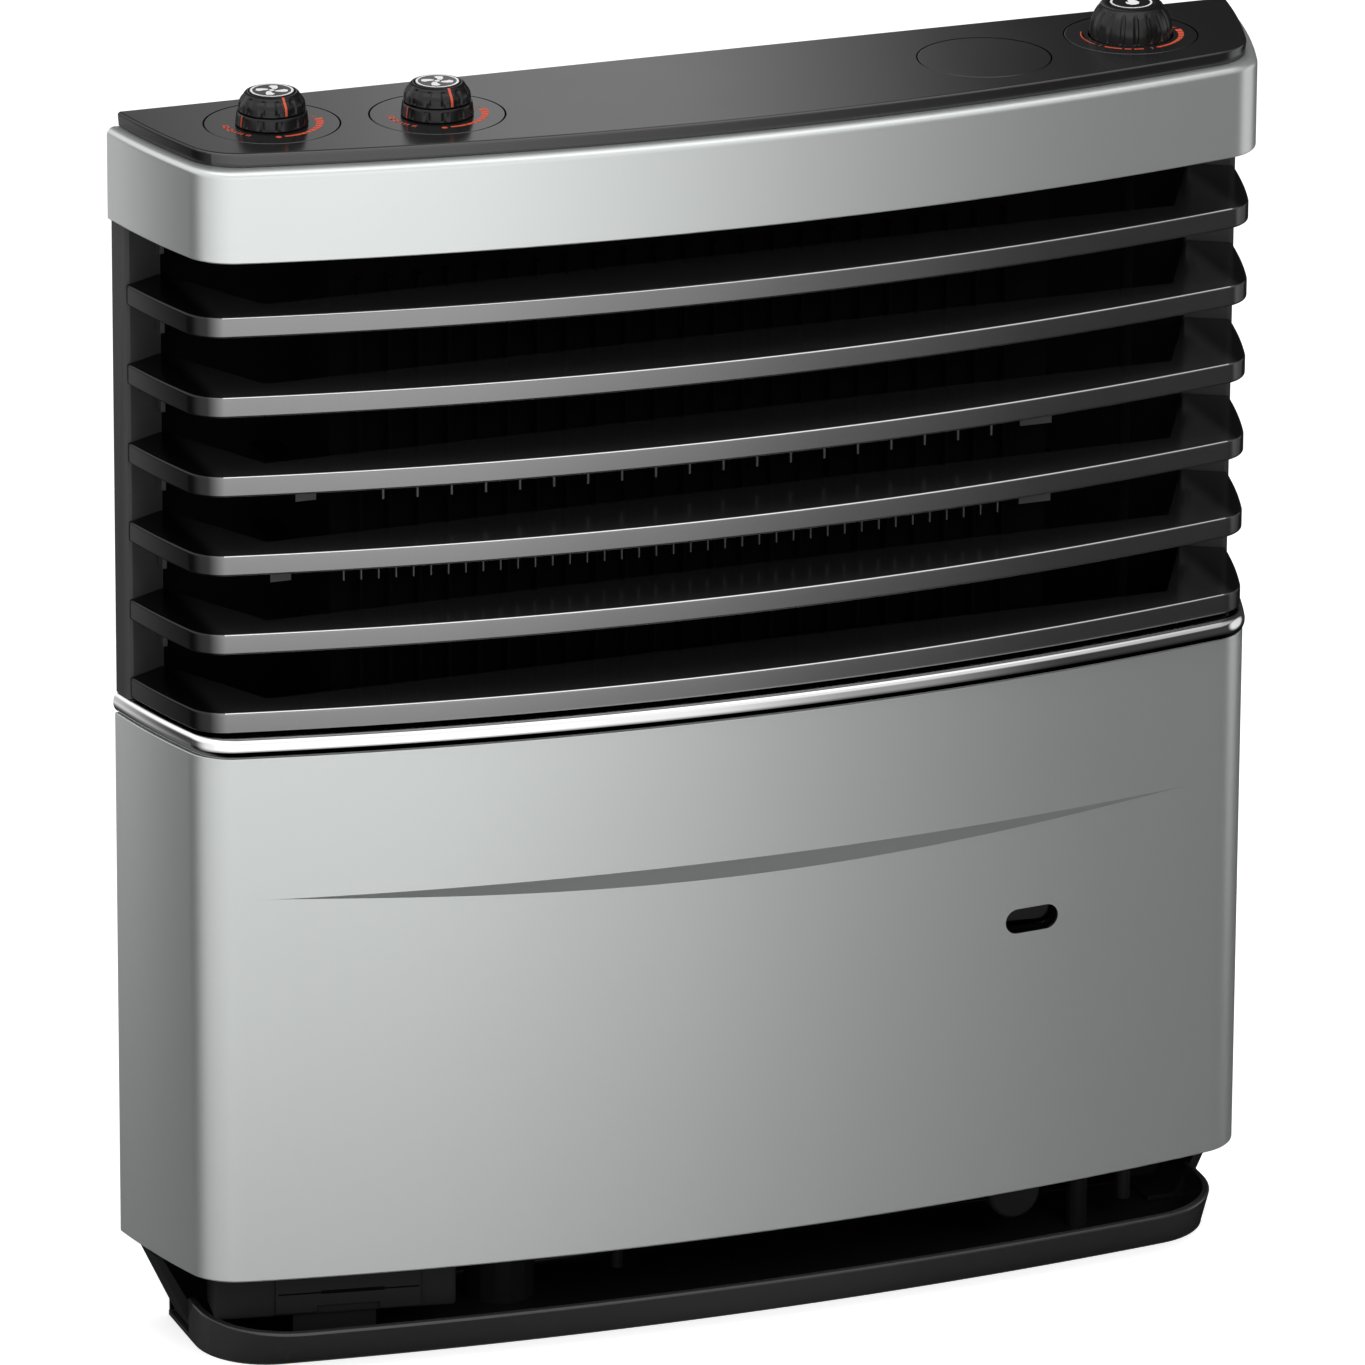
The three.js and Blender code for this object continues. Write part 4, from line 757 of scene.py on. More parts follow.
def sheet_with_holes(plan_rows, circles, name, finish, node):
    """A solid sheet: rows from its underside to its top, with round holes right through."""
    shape = bmesh.new()
    rings = [loop_of(shape, points) for points in plan_rows]
    for first, second in zip(rings, rings[1:]):
        bridge(shape, first, second)
    low, high = plan_rows[0][0].z, plan_rows[-1][0].z
    lower, upper = [], []
    for x, y, radius in circles:
        for loops, z in ((lower, low), (upper, high)):
            loops.append(loop_of(shape, circle_points(x, y, z, radius)))
        bridge(shape, lower[-1], upper[-1])
    fill_between(shape, rings[0], *lower)
    fill_between(shape, rings[-1], *upper)

    def in_hole(face):
        x, y, _ = face.center / MM
        near = any(math.hypot(x - at_x, y - at_y) < r + OVERRUN for at_x, at_y, r in circles)
        return near and abs(face.normal.z) < UPRIGHT

    piece = finish_piece(name, shape, finish, node)
    # painted shade: the walls of the round holes are near black
    repaint(piece, "heatproof_black_and_shade", in_hole)
    return piece


print("a round hole has", len(circle_points(0, 0, 0, 1)), "points")

# %% Control plate
INSET_NODES = ("left_dial_inset", "second_dial_inset", "blank_inset", "gas_dial_inset")
dial_at = {node.split("_")[0]: middle_of(node).xy for node in INSET_NODES}
PLATE_TOP = levels("control_plate")[1]
INSET, SEAM = 31.3, 0.65


def control_plate():
    thickness, skirt, under = 3.2, 2.5, levels("top_band")[1] + GAP
    rows = rows_of(plate_plan, [(skirt, PLATE_TOP - thickness), (skirt, under)], back=skirt)
    rows += rows_of(plate_plan, [(0.4, under), *upper_edge(PLATE_TOP, 1.4, 6)])
    circles = [(at.x, at.y, INSET + SEAM) for at in dial_at.values()]
    piece = sheet_with_holes(rows, circles, "control_plate_lid", "plate_black", "control_plate")
    repaint(piece, "gloss_black", lambda face: not face.material_index and abs(face.normal.x) > 0.7)


control_plate()

# %% [markdown]
# Each disc is a turned piece: a section of a few points, carried once round the middle. A thin
# flange under its rim closes the seam, so that no light comes through from below.

# %% Discs in the openings
FLANGE, RIM_ROUND, BORE, ROD_BORE = INSET + 2, 0.35, 7.2, 3.3


def lathe(name, profile, at, finish, node, body="casing"):
    """A turned piece from (radius, z) points that run round its section."""
    shape = bmesh.new()
    rings = []
    for radius, z in profile:
        points = circle_points(at.x, at.y, z, radius) if radius else [(at.x, at.y, z)]
        rings.append(loop_of(shape, points))
    pairs = list(zip(rings, rings[1:]))
    if profile[0][0] != 0:
        pairs.append((rings[-1], rings[0]))
    for first, second in pairs:
        for i in range(ROUND_STEPS):
            j = (i + 1) % ROUND_STEPS
            around = ((first, i), (first, j), (second, j), (second, i))
            corners = dict.fromkeys(loop[k % len(loop)] for loop, k in around)
            if len(corners) > 2:
                shape.faces.new(list(corners))
    return finish_piece(name, shape, finish, node, body)


def disc_rim(radius, high, r, steps):
    return quarter(radius - r, high - r, r, 0, UP, steps)


def inset(name, node, profile):
    lathe(f"{name}_disc", profile, dial_at[name], "plate_black", node)


def plain_inset(name, node, bore):
    low, high = levels(node)
    under = [(bore, low - 0.6), (FLANGE, low - 0.6), (FLANGE, low - 0.1), (INSET, low - 0.1)]
    inset(name, node, [*under, *disc_rim(INSET, high, RIM_ROUND, 4), (bore, high)])


def gas_inset():
    """The disc under the gas knob, with a well that the knob sinks into."""
    low = levels("gas_dial_inset")[0]
    well, wall, floor = 20.2, 2.0, low + 1.5
    under, seat = PLATE_TOP - 3.9, PLATE_TOP - 3.3
    profile = [(ROD_BORE, low), (well + wall, low), (well + wall, under), (FLANGE, under)]
    profile += [(FLANGE, seat), (INSET, seat), *disc_rim(INSET, PLATE_TOP, RIM_ROUND, 4)]
    profile += [(well, PLATE_TOP), (well, floor), (ROD_BORE, floor)]
    inset("gas", "gas_dial_inset", profile)


plain_inset("left", "left_dial_inset", BORE)
plain_inset("second", "second_dial_inset", BORE)
plain_inset("blank", "blank_inset", 0)
gas_inset()

# %% [markdown]
# ## Foot
# The tray's side flares out from its sole to a thin rounded lip, and its floor has two round
# holes for the air duct and the gas pipe.

# %% Foot tray
def foot_tray():
    top = levels("foot_tray")[1]
    wall, floor, start, clearance = 3.2, 2.5, 31.0, 0.2
    rows = rows_of(sole_plan, [(wall, floor / 2), (0.6, 0), (0, 0.6)], back=start)
    rows += rows_of(lip_plan, [*upper_edge(top, 1.3, 6), (wall, top)], back=start)
    # painted light: the rim wears a lighter black than the tray's floor
    finish_piece("foot_rim", skin_rows(rows), "foot_black_painted_light", "foot_tray")
    holes = []
    for node in ("air_inlet_duct", "gas_inlet_pipe"):
        low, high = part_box(node)
        holes.append((*middle_of(node).xy, (high.x - low.x) / 2 / MM + clearance))
    plates = rows_of(sole_plan, [(0, 0), (0, floor)])
    sheet_with_holes(plates, holes, "foot_floor", "black_plastic", "foot_tray")


foot_tray()

# %% [markdown]
# ## Combs, cheeks and the lid's line
# Two toothed strips stand in front of the fins. Only their teeth and end tabs catch light between
# the louvers, so those get paler finishes, the tabs a painted light, and the strips stay dull
# black, a painted shade. The cheeks are folded sheets with a web at the back, and the battery lid
# has a dark line with a finger notch.

# %% Toothed strips
BOX_FACES = ((3, 2, 1, 0), (4, 5, 6, 7), (0, 1, 5, 4), (1, 2, 6, 5), (2, 3, 7, 6), (3, 0, 4, 7))
STRIP_HIGH, STRIP_THICK, TOOTH_HIGH, STATIONS = 7, 1.5, 5, 32
LEG_WIDE, LEG_THICK, TAB_PROUD = 14, 1.5, 0.3
SAG, SAG_RATE, SAG_MIDDLE = 0.8, 0.00015, 16.6


def add_box(shape, low, high):
    around = ((low[0], low[1]), (high[0], low[1]), (high[0], high[1]), (low[0], high[1]))
    verts = loop_of(shape, [(x, y, z) for z in (low[2], high[2]) for x, y in around])
    for face in BOX_FACES:
        shape.faces.new([verts[i] for i in face])


def rise(x):
    """The strips sag a little between their ends."""
    return SAG_RATE * (x - SAG_MIDDLE) ** 2 - SAG


def comb(node, first, last, count, width, tab):
    low, high = box_mm(node)
    bottom, back = high.z - STRIP_HIGH, low.y + STRIP_THICK
    stations = between(low.x, high.x, STATIONS)
    edge = [(x, high.z + rise(x)) for x in stations]
    edge += [(x, bottom + rise(x)) for x in reversed(stations)]
    teeth, tabs, legs = bmesh.new(), bmesh.new(), bmesh.new()
    for x in between(first, last, count - 1):
        root = bottom + rise(x)
        add_box(teeth, (x - width / 2, low.y, root - TOOTH_HIGH), (x + width / 2, back, root))
    for x0, x1, hang in ((low.x + tab, low.x + tab + 10, 4.0), (high.x - 32, high.x - 16, 2.5)):
        corner = (x0, low.y - TAB_PROUD, bottom + rise(x0) - hang)
        add_box(tabs, corner, (x1, low.y, high.z + rise(x0)))
    for x in (low.x, high.x - LEG_WIDE):
        top = high.z + rise(x)
        add_box(legs, (x, back, top - LEG_THICK), (x + LEG_WIDE, high.y, top))
    strip = upright_sheet(edge, low.y, back)
    # the strip and legs are painted shade, the tabs painted light
    for part, shape, finish in (("strip", strip, "heatproof_black_and_shade"), ("teeth", teeth, "comb_steel"),
                                ("tabs", tabs, "post_black_painted_light"), ("legs", legs, "heatproof_black_and_shade")):
        finish_piece(f"{node}_{part}", shape, finish, node)


comb("fin_comb_lower", -186.5, 140.3, 39, 0.6, -8.5)
comb("fin_comb_upper", -167.0, 136.6, 19, 0.9, 4.0)

# %% [markdown]
# The back sheet closes the casing behind, and the flue's collar passes through it. Its front is
# as dull as the inside, a painted shade, and its rear is plain black lacquer, so one sheet wears
# two finishes.

# %% Back sheet and flue collar
def circle_behind(shape, centre, radius, y):
    """A ring of vertices in a plane that faces the back."""
    around = circle_points(centre.x, centre.z, 0, radius)
    return loop_of(shape, [(x, y, z) for x, z, _ in around])


def back_sheet():
    low, high = box_mm("back_sheet")
    collar_low, collar_high = box_mm("flue_collar")
    centre, radius = (collar_low + collar_high) / 2, (collar_high.z - collar_low.z) / 2
    clearance, wall = 0.5, 1.2
    corners = ((low.x, low.z), (high.x, low.z), (high.x, high.z), (low.x, high.z))
    shape = bmesh.new()
    borders = [loop_of(shape, [(x, y, z) for x, z in corners]) for y in (low.y, high.y)]
    holes = [circle_behind(shape, centre, radius + clearance, y) for y in (low.y, high.y)]
    bridge(shape, *borders)
    bridge(shape, *holes)
    for border, hole in zip(borders, holes):
        fill_between(shape, border, hole)
    piece = finish_piece("back_sheet_plate", shape, "back_black", "back_sheet")
    # painted shade on the front of the back sheet
    repaint(piece, "heatproof_black_and_shade", lambda face: face.normal.y < -0.5)
    shape = bmesh.new()
    y0, y1 = collar_low.y, collar_high.y
    section = [(radius - wall, y0), (radius, y0), (radius, y1), (radius - wall, y1)]
    bridge_all(shape, [circle_behind(shape, centre, r, y) for r, y in section])
    finish_piece("flue_collar_ring", shape, slot_of["flue_collar"], "flue_collar", bevel=0.3)


back_sheet()

# %% Foot cheeks
def cheek(name, side):
    node = f"foot_cheek_{name}"
    low, high = box_mm(node)
    t, ledge, web_thick = 2.5, 38.0, 1.5
    foot_x, head_x = sole_plan["half"] - 2.5, max(abs(low.x), abs(high.x))
    edge = [(foot_x, low.z), (head_x, high.z), (head_x - ledge, high.z)]
    edge += [(head_x - ledge, high.z - t), (head_x - 2 * t, high.z - t)]
    edge += [(foot_x - 2 * t, low.z + t), (foot_x - ledge / 2, low.z + t)]
    edge.append((foot_x - ledge / 2, low.z))
    web = [*edge[:3], edge[7]]
    for part, points, y0 in (("fold", edge, low.y), ("web", web, high.y - web_thick)):
        shape = upright_sheet([(side * x, z) for x, z in points], y0, high.y)
        finish_piece(f"{node}_{part}", shape, "dark_steel", node, bevel=0.4)


cheek("left", -1)
cheek("right", 1)

# %% The line on the battery lid
FILM = 0.04
END_GAP, NOTCH_HALF, NOTCH_OFF = 1, 15, 2


def lid_line():
    """A dark line with a finger notch, a film in front of the lid's slanted face."""
    points = [corner.co / MM for corner in frame["nodes"]["battery_lid"].data.vertices]
    left = min(points, key=lambda p: (round(p.x, 1), p.y))
    right = min(points, key=lambda p: p.y)
    slant = (right.y - left.y) / (right.x - left.x)
    middle = (left.x + right.x) / 2 + NOTCH_OFF
    a, b, c, d = left.x + END_GAP, middle - NOTCH_HALF, middle + NOTCH_HALF, right.x - END_GAP
    edges = [
        [(a, line_z), (b, line_z), (b, notch_z), (c, notch_z), (c, line_z), (d, line_z)]
        for line_z, notch_z in ((31.0, 30.6), (31.8, 32.4))
    ]
    line = bmesh.new()
    around = edges[0] + edges[1][::-1]
    front = [(x, left.y + slant * (x - left.x) - FILM, z) for x, z in around]
    line.faces.new(loop_of(line, front))
    finish_piece("lid_notch_line", line, "heatproof_black_and_shade", body="lid")


lid_line()

# %% [markdown]
# ## Pieces shown as they were built
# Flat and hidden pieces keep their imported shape. They get a finish, and where an edge shows it
# is rounded a little by a bevel, after the imported corners are welded together.

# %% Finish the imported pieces
EDGE = {"rear_post_left": 0.5, "rear_post_right": 0.5, "igniter_box": 1.2, "battery_lid": 0.5}
EDGE |= {"gas_valve": 0.8, "gas_manifold": 0.8, "inspection_cap": 0.4, "igniter_stand": 0.4}
HIDDEN = ("heat_exchanger", "burner_box", "sight_sleeve", "control_rod")
FINISH = dict.fromkeys(HIDDEN + ("rod_guide_upper", "rod_guide_lower"), "heatproof_black_and_shade")
# painted shade: the igniter box and battery lid, shaded under the panel, get the darker dull steel
FINISH |= {"igniter_box": "dark_steel", "battery_lid": "dark_steel"}
# painted light: the left rear post gets the lighter black, the right one plain black plastic
FINISH |= {"rear_post_left": "post_black_painted_light", "rear_post_right": "black_plastic"}
WELD_WITHIN = 0.01
PACKED_SHARP = math.radians(40)
shown = {node: piece for node, piece in frame["nodes"].items() if not piece.hide_render}
for node, piece in shown.items():
    piece.data.materials.clear()
    piece.data.materials.append(materials[FINISH.get(node, slot_of[node])])
    if node in EDGE:
        weld = piece.modifiers.new("weld", "WELD")
        weld.merge_threshold = WELD_WITHIN * MM
        round_edges(piece, EDGE[node], PACKED_SHARP)
print("packed pieces shown", len(shown))

# %% [markdown]
# ## Knobs and rings
# Each grip is a turned shape whose side dips between raised pads. The dip is a smooth mask of the
# angle, so the pads get soft flanks that catch the light.

# %% Grips
PER_PAD, DIP_OPENS, DIP_CLOSES = 14, (0.60, 0.68), (0.92, 1.0)
GRIP_SHARP, DOME_POWER = math.radians(50), 2.6
KNOB, KNOB_TOP, CAP_SEAT, SEAT_EDGE, SEAT_DEEP = 15.6, 11.6, 10.7, 10.9, 0.8
GAS, GAS_TOP, SPINDLE_BORE = 19.5, 14.2, 3.3


def ease(low, high, value):
    t = min(max((value - low) / (high - low), 0), 1)
    return t * t * (3 - 2 * t)


def grip(name, node, dial, rows, pads, body):
    """A closed shape from rows of (radius, z) and, where it has one, the dip between the pads."""
    shape = bmesh.new()
    at, steps = dial_at[dial], pads * PER_PAD
    rings = []
    for radius, z, *dip in rows:
        points = []
        for i in range(steps):
            share = (i % PER_PAD) / PER_PAD
            groove = ease(*DIP_OPENS, share) * (1 - ease(*DIP_CLOSES, share))
            points.append((*swing(at.x, at.y, radius - sum(dip) * groove, math.tau * i / steps), z))
        rings.append(loop_of(shape, points))
    bridge_all(shape, rings)
    finish_piece(name, shape, "gloss_black", node, body, sharp=GRIP_SHARP)


def dome(radius, top_radius, share):
    return radius - (radius - top_radius) * share**DOME_POWER


def recess(high, bore):
    """The shallow seat of a cap in the top of a knob."""
    floor = high - SEAT_DEEP
    return [(SEAT_EDGE, high), (CAP_SEAT, high - 0.2), (CAP_SEAT, floor), (bore, floor)]


print("the flank of a dip rises as", [round(ease(0, 4, i), 2) for i in range(5)])


# %% [markdown]
# A dial has two grips, one above the other: the mode ring turns at the bottom and the speed knob
# above it. The gas knob is larger and sinks into its well when it is pressed.

# %% The five grips
def mode_ring(side):
    node = f"{side}_dial_mode_ring"
    high, base = levels(node)[1], PLATE_TOP + GAP
    rows = [(SPINDLE_BORE, base), (16.4, base), (16.9, base + 0.4), (16.9, base + 0.9)]
    rows += [(16.8, base + 1.3, 0.7), (16.4, high - 1.5, 0.7), (16.3, high - 1.1)]
    rows += [(16.1, high - 0.3), (15.8, high), (SPINDLE_BORE, high)]
    grip(f"{side}_ring_grip", node, side, rows, 12, f"{side}_mode")


def knob_side(low, share):
    """Radius and height on the domed side of a speed knob."""
    return dome(KNOB, KNOB_TOP, share), low + 1.3 + 5.6 * share / 0.83


def speed_knob(side):
    node = f"{side}_dial_speed_knob"
    low, high = levels(node)
    domed = [knob_side(low, share) for share in (0.2, 0.4, 0.6, 0.72, 0.8)]
    rows = [(0.5, low), (15.2, low), (KNOB, low + 0.3), (KNOB, low + 0.8)]
    rows += [(15.4, low + 1.3, 0.7), *((radius - 0.05, z, 0.7) for radius, z in domed)]
    rows += [(dome(KNOB, KNOB_TOP, 0.84), high - 1.25, 0.2), (12.7, high - 0.75)]
    rows += [(12.2, high - 0.25), (KNOB_TOP, high), *recess(high, 0.5)]
    grip(f"{side}_knob_grip", node, side, rows, 12, f"{side}_speed")


def gas_knob():
    low, high = levels("gas_knob")
    tall = high - low
    rows = [(ROD_BORE, low), (6, low), (6, high - 4), (11.4, high - 4), (15.8, low + 5)]
    rows += [(15.8, low), (19.2, low), (GAS, low + 0.3), (19.4, low + 2.4)]
    rows.append((19.3, low + 2.9, 0.9))
    for share in (0.2, 0.4, 0.55, 0.68, 0.78):
        rows.append((dome(GAS, GAS_TOP, share), low + 2.9 + (tall - 5.6) * share / 0.82, 0.9))
    rows += [(dome(GAS, GAS_TOP, 0.84), high - 2.3, 0.3), (15.4, high - 1.5)]
    rows += [(14.8, high - 0.5), (GAS_TOP, high), *recess(high, ROD_BORE)]
    grip("gas_knob_grip", "gas_knob", "gas", rows, 18, "gas_push")


for side in ("left", "second"):
    mode_ring(side)
    speed_knob(side)
gas_knob()

# %% [markdown] The gas knob stands on a coil spring.

# %% Return spring under the gas knob
def return_spring():
    """A coil of round wire under the gas knob."""
    low, high = levels("gas_return_spring")
    at, mean, wire, travel = dial_at["gas"], 8.0, 0.59, 5.0
    turns, steps, sides = 4, 24, 10
    shape = bmesh.new()
    rings = []
    for i, z in enumerate(between(low + wire, high - wire, turns * steps)):
        section = [swing(mean, z, wire, b) for b in between(0, math.tau, sides)[:-1]]
        a = math.tau * i / steps
        rings.append(loop_of(shape, [(*swing(at.x, at.y, r, a), level) for r, level in section]))
    for first, second in zip(rings, rings[1:]):
        bridge(shape, first, second)
    shape.faces.new(rings[0])
    shape.faces.new(rings[-1])
    sharp, foot = math.radians(60), Vector((at.x, at.y, low)) * MM
    piece = finish_piece("gas_return_coil", shape, "bare_steel", body="gas_selector", sharp=sharp)
    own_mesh(piece)
    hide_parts("gas_return_spring")


return_spring()

# %% [markdown]
# ## Caps and printed marks
# The caps are discs with a soft edge. Their pictograms, the scales round the dials and the
# pointer stripes are thin films of ink just above the surface that they are printed on.

# %% Caps
CAP_RADIUS, CAP_ROUND = 10.4, 0.3


def cap(node, dial, body):
    """A cap whose top leaves room for its ink; gives the height of that top."""
    low, high = levels(node)
    high -= FILM
    profile = [(0, low), (CAP_RADIUS, low), *disc_rim(CAP_RADIUS, high, CAP_ROUND, 3), (0, high)]
    lathe(f"{node}_disc", profile, dial_at[dial], "cap_black", node, body)
    return high


CAP_TOP = {
    "left": cap("left_dial_cap", "left", "left_speed"),
    "second": cap("second_dial_cap", "second", "second_speed"),
    "gas": cap("gas_knob_cap", "gas", "gas_push"),
}

# %% [markdown]
# Ink marks are built from a few flat outlines: parts of rings, dots, fan blades and a flame. All
# are given round the middle of a dial, by radius and angle, as the marks of a scale are.

# %% Ink films
DOT_STEPS, BAND_TURN = 14, 3


def flat_film(name, outlines, dial, z, finish, body):
    """Flat marks from closed outlines round a dial's middle."""
    shape, at = bmesh.new(), dial_at[dial]
    for points in outlines:
        shape.faces.new(loop_of(shape, [(at.x + x, at.y + y, z + FILM) for x, y in points]))
    bmesh.ops.triangulate(shape, faces=shape.faces)
    for face in shape.faces:
        if face.normal.z < 0:
            face.normal_flip()
    to_metres(shape)
    piece = new_object(name, shape, finish)
    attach(piece, body)
    print("printed", name, "with", len(outlines), "marks")


def polar(radius, degrees):
    return swing(0, 0, radius, math.radians(degrees))


def band(inner, outer, start, end, outer_end=None):
    """Part of a ring whose outer edge may grow from one end to the other."""
    steps = max(int(abs(end - start) / BAND_TURN), 1)
    turns, radii = between(start, end, steps), between(outer, outer_end or outer, steps)
    return [*map(polar, radii, turns), *(polar(inner, a) for a in reversed(turns))]


def ring(inner, outer):
    return [band(inner, outer, 0, 180), band(inner, outer, 180, 360)]


def spot(radius, degrees, size):
    x, y = polar(radius, degrees)
    return [swing(x, y, size, a) for a in between(0, math.tau, DOT_STEPS)[:-1]]


def blade(turn):
    """One blade of the fan sign."""
    tip = [polar(2.2 + 5.4 * t, turn + 34 * t) for t in (0, 0.3, 0.6, 0.85, 1)]
    back = [polar(r, turn + lag) for r, lag in ((7.4, 54), (6.0, 66), (4.0, 56), (2.0, 44))]
    return tip + back


# %% Signs on the caps
FLAME = [(0.2, 6.2), (1.6, 3.6), (3.0, 1.4), (3.5, -1.2), (2.6, -3.6), (0.6, -4.8), (-1.6, -4.4)]
FLAME += [(-3.0, -2.6), (-3.1, -0.4), (-2.2, 1.2), (-1.3, 0.2), (-0.9, 1.6), (-0.6, 3.8)]
fan = ring(9.0, 10.0) + [blade(turn) for turn in (20, 110, 200, 290)] + [spot(0, 0, 1.3)]


def cap_sign(dial, outlines, body):
    flat_film(f"{dial}_cap_sign", outlines, dial, CAP_TOP[dial], "white_ink", body)


cap_sign("left", fan, "left_speed")
cap_sign("second", fan, "second_speed")
cap_sign("gas", ring(9.0, 9.9) + [FLAME], "gas_push")

# %% [markdown]
# The fan's scale has one long bar that widens in steps, from low speed to high, and short marks
# for the modes of the ring. The gas scale widens in the same way towards full flame.

# %% Scales round the dials
def dial_scale(dial, marks):
    flat_film(f"{dial}_dial_scale", marks, dial, PLATE_TOP, "red_ink", "casing")


SCALE_IN, SCALE_OUT = 20.4, 22.8
scale = [spot(21.6, -100, 1.4), band(SCALE_IN, 22.0, -92, -70, 22.4)]
for i in range(8):
    wide, start = 22.4 + 0.25 * i, -69 + 9 * i
    scale.append(band(SCALE_IN, wide, start, start + 7.5, wide + 0.2))
scale += [band(SCALE_IN, SCALE_OUT, a, a + 2) for a in (-141, -137.5)]
scale += [band(SCALE_IN, 22.6, a, a + 2.2) for a in (-149, -154, -160)]
scale += [band(SCALE_IN, 21.3, 172, 196), band(22.4, 23.3, 172, 196)]
scale += [band(SCALE_IN, 23.3, a, a + 3) for a in (170, 182, 194)]
gas_scale = [band(23.2, 23.8, 150, 202)]
gas_scale += [band(22.9, 24.3, a, b) for a, b in ((-143, -122), (-119, -111), (-108, -97))]
gas_scale.append(band(22.6, 24.2, -80, -48))
for i in range(5):
    wide, start = 24.3 + 0.3 * i, -47 + 10 * i
    gas_scale.append(band(22.5, wide, start, start + 8.5, wide + 0.2))
dial_scale("left", scale)
dial_scale("second", scale)
dial_scale("gas", gas_scale)


# %% Numerals
def numeral(name, text, dial, radius, degrees):
    """A number on the plate that reads upright from its dial's middle."""
    size, thick, quarter_turn = 3.4, 0.01, 90
    curve = bpy.data.curves.new(name, "FONT")
    curve.body, curve.size, curve.extrude = text, size * MM, thick * MM
    curve.align_x = curve.align_y = "CENTER"
    curve.materials.append(materials["red_ink"])
    piece = put(name, curve)
    at, (x, y) = dial_at[dial], polar(radius, degrees)
    piece.location = Vector((at.x + x, at.y + y, PLATE_TOP + FILM)) * MM
    piece.rotation_euler.z = math.radians(degrees + quarter_turn)
    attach(piece, "casing")


numeral("left_scale_end", "5", "left", 21.6, 10)
numeral("second_scale_end", "5", "second", 21.6, 10)
for text, radius, degrees in (("1", 23.7, -150), ("3", 23.7, -87), ("9", 24.0, 9)):
    numeral(f"gas_scale_{text}", text, "gas", radius, degrees)
print("numerals", 5)


# %% Pointer stripes
def stripe(name, dial, profile, degrees, width, body):
    """A strip of ink that runs up a grip at one angle."""
    shape = bmesh.new()
    middle, across = Vector(polar(1, degrees)), Vector(polar(width / 2, degrees + 90))
    pairs = []
    for radius, z in profile:
        base = dial_at[dial] + middle * (radius + FILM)
        pairs.append(loop_of(shape, [(*(base + across * end), z) for end in (-1, 1)]))
    for (a, b), (c, d) in zip(pairs, pairs[1:]):
        shape.faces.new((a, b, d, c))
    finish_piece(name, shape, "red_ink", body=body)


for side in ("left", "second"):
    high = levels(f"{side}_dial_mode_ring")[1]
    rows = [(16.9, PLATE_TOP + GAP + 0.6), (16.4, high - 1.3), (16.1, high - 0.3)]
    stripe(f"{side}_ring_pointer", side, rows, -166, 1.1, f"{side}_mode")
    low, high = levels(f"{side}_dial_speed_knob")
    rows = [(KNOB, low + 0.6), *(knob_side(low, share) for share in (0.2, 0.4, 0.6, 0.8))]
    rows += [(12.75, high - 0.75), (12.25, high - 0.25), (KNOB_TOP, high + 0.02)]
    stripe(f"{side}_knob_pointer", side, rows, -83, 1.2, f"{side}_speed")

# %% [markdown]
# ## Studio
# The heater stands on a pale floor in front of white. Soft lamps give the light. What polished
# and painted metal shows is a round studio wall that only reflections see: bright in front at the
# left, falling off to the right and downwards, and dark behind, so that the black plate stays deep.

# %% Floor
FLOOR_HALF, FLOOR_LIFT = 12.0, 0.7


def make_floor():
    """A pale floor that is lifted towards white for the camera only."""
    shader = grained("floor_paint", grey(0.80), grey(0.79), 0.8, 0.9, 2, 60)
    tree = shader.id_data
    seen = new_node(tree, "LightPath").outputs["Is Camera Ray"]
    lift = new_node(tree, "Math", {0: seen, 1: FLOOR_LIFT}, operation="MULTIPLY").outputs[0]
    feed(shader, {"Emission Strength": lift, "Emission Color": (1, 1, 1, 1)})
    shape = bmesh.new()
    corners = [(x * FLOOR_HALF, y * FLOOR_HALF, 0) for x, y in ((-1, -1), (1, -1), (1, 1), (-1, 1))]
    shape.faces.new(loop_of(shape, corners))
    floor = new_object("floor", shape, "floor_paint")
    floor.visible_glossy = False
    floor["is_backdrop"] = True


make_floor()
print("floor", 2 * FLOOR_HALF, "m wide")

# %% [markdown]
# The wall is a sphere round the heater. Its light is a product of grey ramps over the sphere's own
# x, y and z, which run from -1 to 1: x goes to the right, y to the back and z upwards.

# %% Studio wall for reflections
WALL_RADIUS, WALL_MIDDLE, WALL_GLOW = 2.4, 0.3, 4.0


def ramp(source, *stops):
    """A grey ramp over a value from -1 to 1."""
    tree = source.id_data
    span = new_node(tree, "MapRange", {"Value": source, "From Min": -1})
    ramp = new_node(tree, "ValToRGB", {"Fac": span.outputs["Result"]})
    ramp.color_ramp.interpolation = "EASE"
    elements = ramp.color_ramp.elements
    while len(elements) < len(stops):
        elements.new(0.5)
    for element, (place, value) in zip(elements, stops):
        element.position = (place + 1) / 2
        element.color = (*grey(value), 1)
    return ramp.outputs["Color"]


ACROSS = [(-0.97, 0.62), (-0.76, 0.84), (-0.5, 0.97), (-0.15, 1.0), (0.02, 1.0), (0.22, 0.66)]
ACROSS += [(0.45, 0.22), (0.62, 0.03), (0.9, 0.03), (0.97, 0.55)]
RISING = [(-0.56, 0.0), (-0.49, 0.13), (-0.42, 0.18), (-0.34, 0.31), (-0.21, 0.4), (0.9, 0.4)]
PAST = [(-0.95, 0.02), (-0.88, 0.015), (-0.62, 0.22), (-0.3, 0.05), (0.1, 0.02), (0.2, 0.1)]
PAST += [(0.26, 0.19), (0.31, 0.2), (0.35, 0.09), (0.39, 0.005), (0.9, 0.01), (0.97, 0.2)]


def product(first, second):
    return mix_of(1, first, second, "MULTIPLY")


